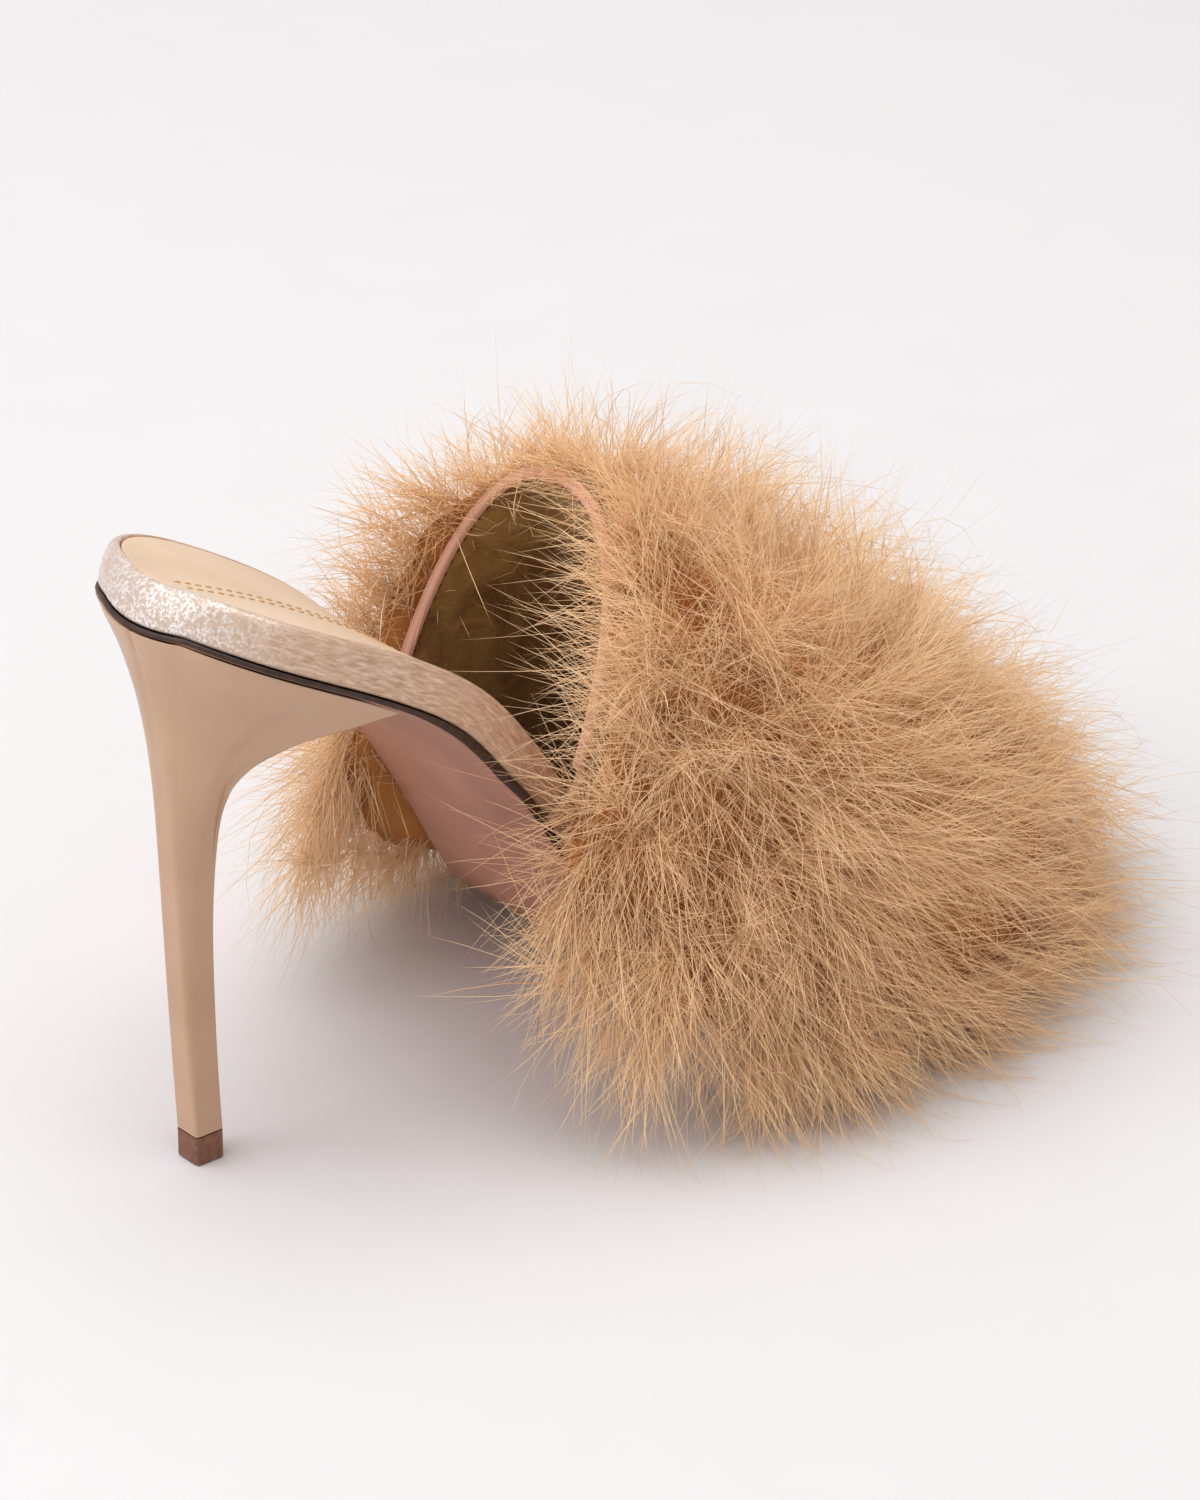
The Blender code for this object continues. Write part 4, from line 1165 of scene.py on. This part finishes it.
def flow_from_whorl(i, j):
    """Direction in shares of 1 mm away from the whorl on this side, and the distance from it."""
    along, across = per_share(i, j)
    side = np.clip((j - 0.42) / 0.16, 0, 1)
    centre = WHORL_ACROSS + side * (1 - 2 * WHORL_ACROSS)
    di, dj = (i - WHORL_ALONG) * along, (j - centre) * across
    far = np.maximum(np.hypot(di, dj), 1e-6)
    return di / far / along, dj / far / across, far


def paths_between(roots, tips, rng, steps, bow, droop):
    """Curved paths in the plumes' space that leave the vamp straight and bend over into the flow."""
    s = np.linspace(0, 1, steps)[None, :]
    i = roots[0][:, None] + (tips[0] - roots[0])[:, None] * s**1.5
    j = roots[1][:, None] + (tips[1] - roots[1])[:, None] * s**1.5
    k = roots[2][:, None] + (tips[2] - roots[2])[:, None] * s**0.8
    paths = in_fur(i, j, k)
    paths += rng.normal(size=(len(paths), 1, 3)) * bow * (4 * s * (1 - s))[..., None]
    paths[..., 2] -= droop * s**2
    return paths


def thickness(i, j):
    return np.linalg.norm(on_grid(FUR_OUT, i, j) - on_grid(FUR_IN, i, j), axis=-1)


def quills_over(rng, count):
    """Quills that together fill the space, leaning away from the whorl of their side."""
    i, j = spread_over(rng, count)
    fi, fj, far = flow_from_whorl(i, j)
    along, across = per_share(i, j)
    crater = np.clip(far / CRATER, 0.1, 1)
    lean = np.minimum(0.5 * far, LEAN_REACH) * (0.4 + 0.9 * rng.random(count))
    top = np.clip(1 - (0.55 * BARB_LENGTH) / thickness(i, j), 0.45, 0.92)
    height = top * (0.72 + 0.4 * rng.random(count)) * (0.6 + 0.4 * crater)
    twist = rng.normal(0, 8 * MM, (2, count))
    roots = (
        np.clip(i - fi * lean + twist[0] / along, 0.02, 0.98),
        np.clip(j - fj * lean + twist[1] / across, 0.02, 0.98),
        0.06 + 0.14 * rng.random(count),
    )
    tips = (np.clip(i, 0.01, 0.99), np.clip(j, 0.005, 0.995), height)
    # The second value grows towards a whorl's centre and is used to paint shade in its crater.
    return paths_between(roots, tips, rng, 6, 1.6 * MM, 1.0 * MM), 1 - crater


def quills_out_of(edge, rng, count):
    """Quills that face out of one open edge of the plumes' space."""
    spot = rng.random(count)
    high = 0.12 + 0.75 * rng.random(count)
    inward = 0.06 + 0.1 * rng.random(count)
    jitter = 0.03 * rng.normal(size=count)
    zero = np.zeros(count)
    if edge == "back":
        crown = np.clip(1 - np.abs(spot - 0.5) / 0.22, 0, 1)
        roots, tips = (inward, spot + 0.3 * jitter), (0.05 * crown + zero, spot + jitter)
        high = np.maximum(high, 0.5 * crown)
    elif edge == "toe":
        roots, tips = (1 - inward, spot + 0.3 * jitter), (1 + zero, spot + jitter)
    elif edge == "outer":
        roots, tips = (spot + 0.3 * jitter, 0.5 * inward), (spot + jitter, zero)
    else:
        roots, tips = (spot + 0.3 * jitter, 1 - 0.5 * inward), (spot + jitter, 1 + zero)
    clipped = [np.clip(each, 0, 1) for each in (*roots, *tips)]
    roots = (clipped[0], clipped[1], 0.5 * high)
    tips = (clipped[2], clipped[3], high)
    return paths_between(roots, tips, rng, 6, 1.2 * MM, 0.5 * MM)


def barbs_of(quills, rng, each, length):
    """The fine barbs of each quill, all round it, leaving it aslant and curling on towards its tip."""
    count = len(quills)
    place = 0.12 + 0.88 * rng.random((count, each)) ** 0.8
    steps = quills.shape[1]
    spot = place * (steps - 1)
    low = np.clip(np.floor(spot), 0, steps - 2).astype(int)
    which = np.arange(count)[:, None]
    part = (spot - low)[..., None]
    start = quills[which, low] * (1 - part) + quills[which, low + 1] * part
    ahead = quills[which, low + 1] - quills[which, low]
    ahead /= np.maximum(np.linalg.norm(ahead, axis=-1, keepdims=True), 1e-9)
    out = rng.normal(size=(count, each, 3))
    out -= ahead * np.sum(out * ahead, axis=-1, keepdims=True)
    out /= np.maximum(np.linalg.norm(out, axis=-1, keepdims=True), 1e-9)
    slant = np.radians(12 + 38 * rng.random((count, each)))[..., None]
    way = ahead * np.cos(slant) + out * np.sin(slant)
    reach = length * (0.45 + 0.75 * rng.random((count, each))) * (1.15 - 0.45 * place)
    reach = reach[..., None] * (0.8 + 0.4 * rng.random((count, 1, 1)))
    curl = rng.normal(size=(count, each, 3)) * 0.28 + ahead * 0.25 - out * 0.12
    curl[..., 2] -= 0.16
    s = np.linspace(0, 1, 5)[None, None, :, None]
    paths = start[:, :, None] + way[:, :, None] * reach[:, :, None] * s + curl[:, :, None] * reach[:, :, None] * s**2
    return paths.reshape(-1, 5, 3), (0.1 + 0.45 * place).ravel()


def keep_off_vamp(paths):
    """Moves points that would lie in or under the vamp just outside it; behind the throat all is free."""
    from mathutils.bvhtree import BVHTree

    rows, columns = FUR_IN.shape[:2]
    numbers = np.arange(rows * columns).reshape(rows, columns)
    faces = grid_faces(numbers)
    normals = surface_normals(FUR_IN)
    tree = BVHTree.FromPolygons(FUR_IN.reshape(-1, 3).tolist(), faces.tolist())
    flat = paths.reshape(-1, 3)
    for n in range(len(flat)):
        spot, _, face, _ = tree.find_nearest(flat[n], 6 * MM)
        if spot is None or face < 2 * (columns - 1):
            continue
        out = normals[face // (columns - 1), face % (columns - 1)]
        over = float(np.dot(flat[n] - np.array(spot), out))
        if over < 0.2 * MM:
            flat[n] += out * (0.4 * MM - over)
    return flat.reshape(paths.shape)


def bend_back(value, most):
    """Bends lengths softly back as they near the most that they may reach."""
    start = most - PLUME_BEND
    over = np.maximum(value - start, 0)
    return np.minimum(value, start) + PLUME_BEND * (1 - np.exp(-over / PLUME_BEND))


def within_reach(paths, rng):
    """Keeps hairs off the floor and bends them back near the given front, side and top reaches.
    Keeps hairs off the floor and inside the size that the whole shoe may have.
    """
    paths[..., 2] = np.maximum(paths[..., 2], 0.3 * MM + 0.9 * MM * rng.random((len(paths), 1)))
    paths[..., 0] = bend_back(paths[..., 0], PLUME_FRONT)
    paths[..., 1] = np.sign(paths[..., 1]) * bend_back(np.abs(paths[..., 1]), PLUME_SIDE)
    paths[..., 2] = bend_back(paths[..., 2], PLUME_TOP)
    return paths


def hairs_over_throat(rng, count):
    """Single long hairs of both sides that reach back over the throat and over the rand."""
    side = rng.random(count) < 0.75
    j = np.where(side, 0.03 + 0.26 * rng.random(count), 0.97 - 0.2 * rng.random(count))
    start = in_fur(0.06 * rng.random(count), j, 0.2 + 0.7 * rng.random(count))
    reach = (9 + 20 * rng.random(count)) * MM
    way = np.column_stack([
        -0.8 + 0.25 * rng.normal(size=count),
        np.where(side, 0.2, -0.2) + 0.4 * rng.normal(size=count),
        0.05 + 0.5 * rng.normal(size=count),
    ])
    way /= np.linalg.norm(way, axis=1, keepdims=True)
    bend = rng.normal(size=(count, 3)) * 0.25
    s = np.linspace(0, 1, 6)[None, :, None]
    return start[:, None] + (way[:, None] * s + bend[:, None] * s**2) * reach[:, None, None]


def stray_hairs(rng, count):
    """Long pale hairs that stand out of the whole mass."""
    i, j = spread_over(rng, count)
    fi, fj, _ = flow_from_whorl(i, j)
    lean = LEAN_REACH * (0.3 + 0.9 * rng.random(count))
    roots = (np.clip(i - fi * lean, 0.02, 0.98), np.clip(j - fj * lean, 0.02, 0.98), np.full(count, 0.6))
    tips = (i + 0.04 * rng.normal(size=count), j + 0.03 * rng.normal(size=count), 1.02 + 0.2 * rng.random(count))
    tips = (np.clip(tips[0], -0.06, 1.06), np.clip(tips[1], -0.04, 1.04), tips[2])
    return paths_between(roots, tips, rng, 6, 3.0 * MM, 2 * MM)


def make_down():
    """The soft base of the plumes as one closed lumpy mass just over the vamp, coloured darker than the barbs as
    painted depth shade under them.
    """
    rows, columns = FUR_IN.shape[0], FUR_IN.shape[1]
    i, j = np.meshgrid(np.linspace(0.02, 0.97, rows), np.linspace(0.01, 0.99, columns), indexing="ij")
    lumps = np.array([
        [noise.noise(Vector(p) / (7 * MM)) for p in row] for row in on_grid(FUR_OUT, i, j)
    ])
    inside = in_fur(i, j, np.full(i.shape, 0.03))
    outside = in_fur(i, j, 0.36 + 0.12 * lumps)
    # Painted depth shade: the down's darker honey stands for the shade deep inside the plumes.
    deep = plume("painted_depth_shade_marabou", ((0.0, "#B5763C"), (1.0, "#DBA063")))
    down = wall("marabou_down_and_shade", inside, outside, [deep])
    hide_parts("marabou")


def make_plumes():
    rng = np.random.default_rng(PLUME_SEED)
    over, whorl_shade = quills_over(rng, PLUMES_OVER)
    zones = [over]
    for edge, count in (("back", 110), ("toe", 70), ("outer", 70), ("inner", 60)):
        zones.append(quills_out_of(edge, rng, count))
    quills = np.concatenate(zones)
    plume_tone_and_shade = rng.normal(0, 0.07, len(quills))
    # Painted shade: quills deep in a whorl's crater are made darker on the plume ramp.
    plume_tone_and_shade[: len(over)] -= 0.2 * whorl_shade
    barbs, starts = barbs_of(quills, rng, BARBS_ON_PLUME, BARB_LENGTH)
    barbs = within_reach(keep_off_vamp(barbs), rng)
    tone_and_shade = np.repeat(plume_tone_and_shade, BARBS_ON_PLUME) + rng.normal(0, 0.07, len(barbs))
    widths = BARB_WIDTH * (0.65 + 0.6 * rng.random(len(barbs)))
    parts = 5
    order = np.argsort(barbs[:, -1, 0])
    for number, ours in enumerate(np.array_split(order, parts)):
        tubes(f"plume_barbs_{number + 1}", barbs[ours], widths[ours], starts[ours], tone_and_shade[ours], PLUMES)
    quills = within_reach(keep_off_vamp(quills), rng)
    tubes(
        "plume_quills", quills, np.full(len(quills), QUILL_WIDTH), np.full(len(quills), 0.1),
        plume_tone_and_shade, PLUMES,
    )
    hairs = np.concatenate([stray_hairs(rng, 900), hairs_over_throat(rng, 210)])
    hairs = within_reach(hairs, rng)
    widths = BARB_WIDTH * (0.7 + 0.3 * rng.random(len(hairs)))
    tone_and_shade = 0.16 + rng.normal(0, 0.06, len(hairs))
    tubes("plume_long_hairs", hairs, widths, np.full(len(hairs), 0.3), tone_and_shade, PLUMES)


# Floor, light and camera.


def make_stage():
    size = 4.0
    mesh = bpy.data.meshes.new("floor")
    mesh.from_pydata([(-size, -size, 0), (size, -size, 0), (size, size, 0), (-size, size, 0)], [], [(0, 1, 2, 3)])
    mesh.materials.append(floor_paper())
    floor = bpy.data.objects.new("floor", mesh)
    bpy.context.collection.objects.link(floor)
    world = bpy.data.worlds.new("studio")
    world.use_nodes = True
    world.node_tree.nodes["Background"].inputs["Color"].default_value = linear("#FFFDFB")
    world.node_tree.nodes["Background"].inputs["Strength"].default_value = 0.7
    bpy.context.scene.world = world
    lamps = (
        # name, place, aimed at, size, watts
        ("overhead_softbox", (-0.15, 0.1, 1.5), (0.08, 0, 0), 1.4, 15.0),
        ("left_softbox", (-1.2, 0.5, 0.9), (0.08, 0, 0.04), 0.9, 6.0),
    )
    for name, place, aim, size, watts in lamps:
        lamp = bpy.data.lights.new(name, "AREA")
        lamp.size = size
        lamp.energy = watts
        held = bpy.data.objects.new(name, lamp)
        held.location = place
        held.rotation_euler = (Vector(aim) - Vector(place)).to_track_quat("-Z", "Y").to_euler()
        bpy.context.collection.objects.link(held)


def make_camera():
    """The photograph's place beside the shoe, aimed at this one shoe with a longer lens."""
    camera = bpy.data.cameras.new("camera")
    camera.sensor_width = 36
    camera.lens = 158
    camera.clip_start, camera.clip_end = 0.05, 20
    held = bpy.data.objects.new("camera", camera)
    held.location = (-0.5821, -0.7947, 0.5751)
    aim = Vector((0.0915, 0.0015, 0.048))
    held.rotation_euler = (aim - held.location).to_track_quat("-Z", "Y").to_euler()
    bpy.context.collection.objects.link(held)
    bpy.context.scene.camera = held


make_sole()
make_heel()
under_binding, _, _ = make_upper()
make_stitches(under_binding)
make_down()
make_plumes()
make_stage()
make_camera()
bpy.context.scene.view_settings.view_transform = "Standard"
bpy.context.scene.view_settings.look = "None"
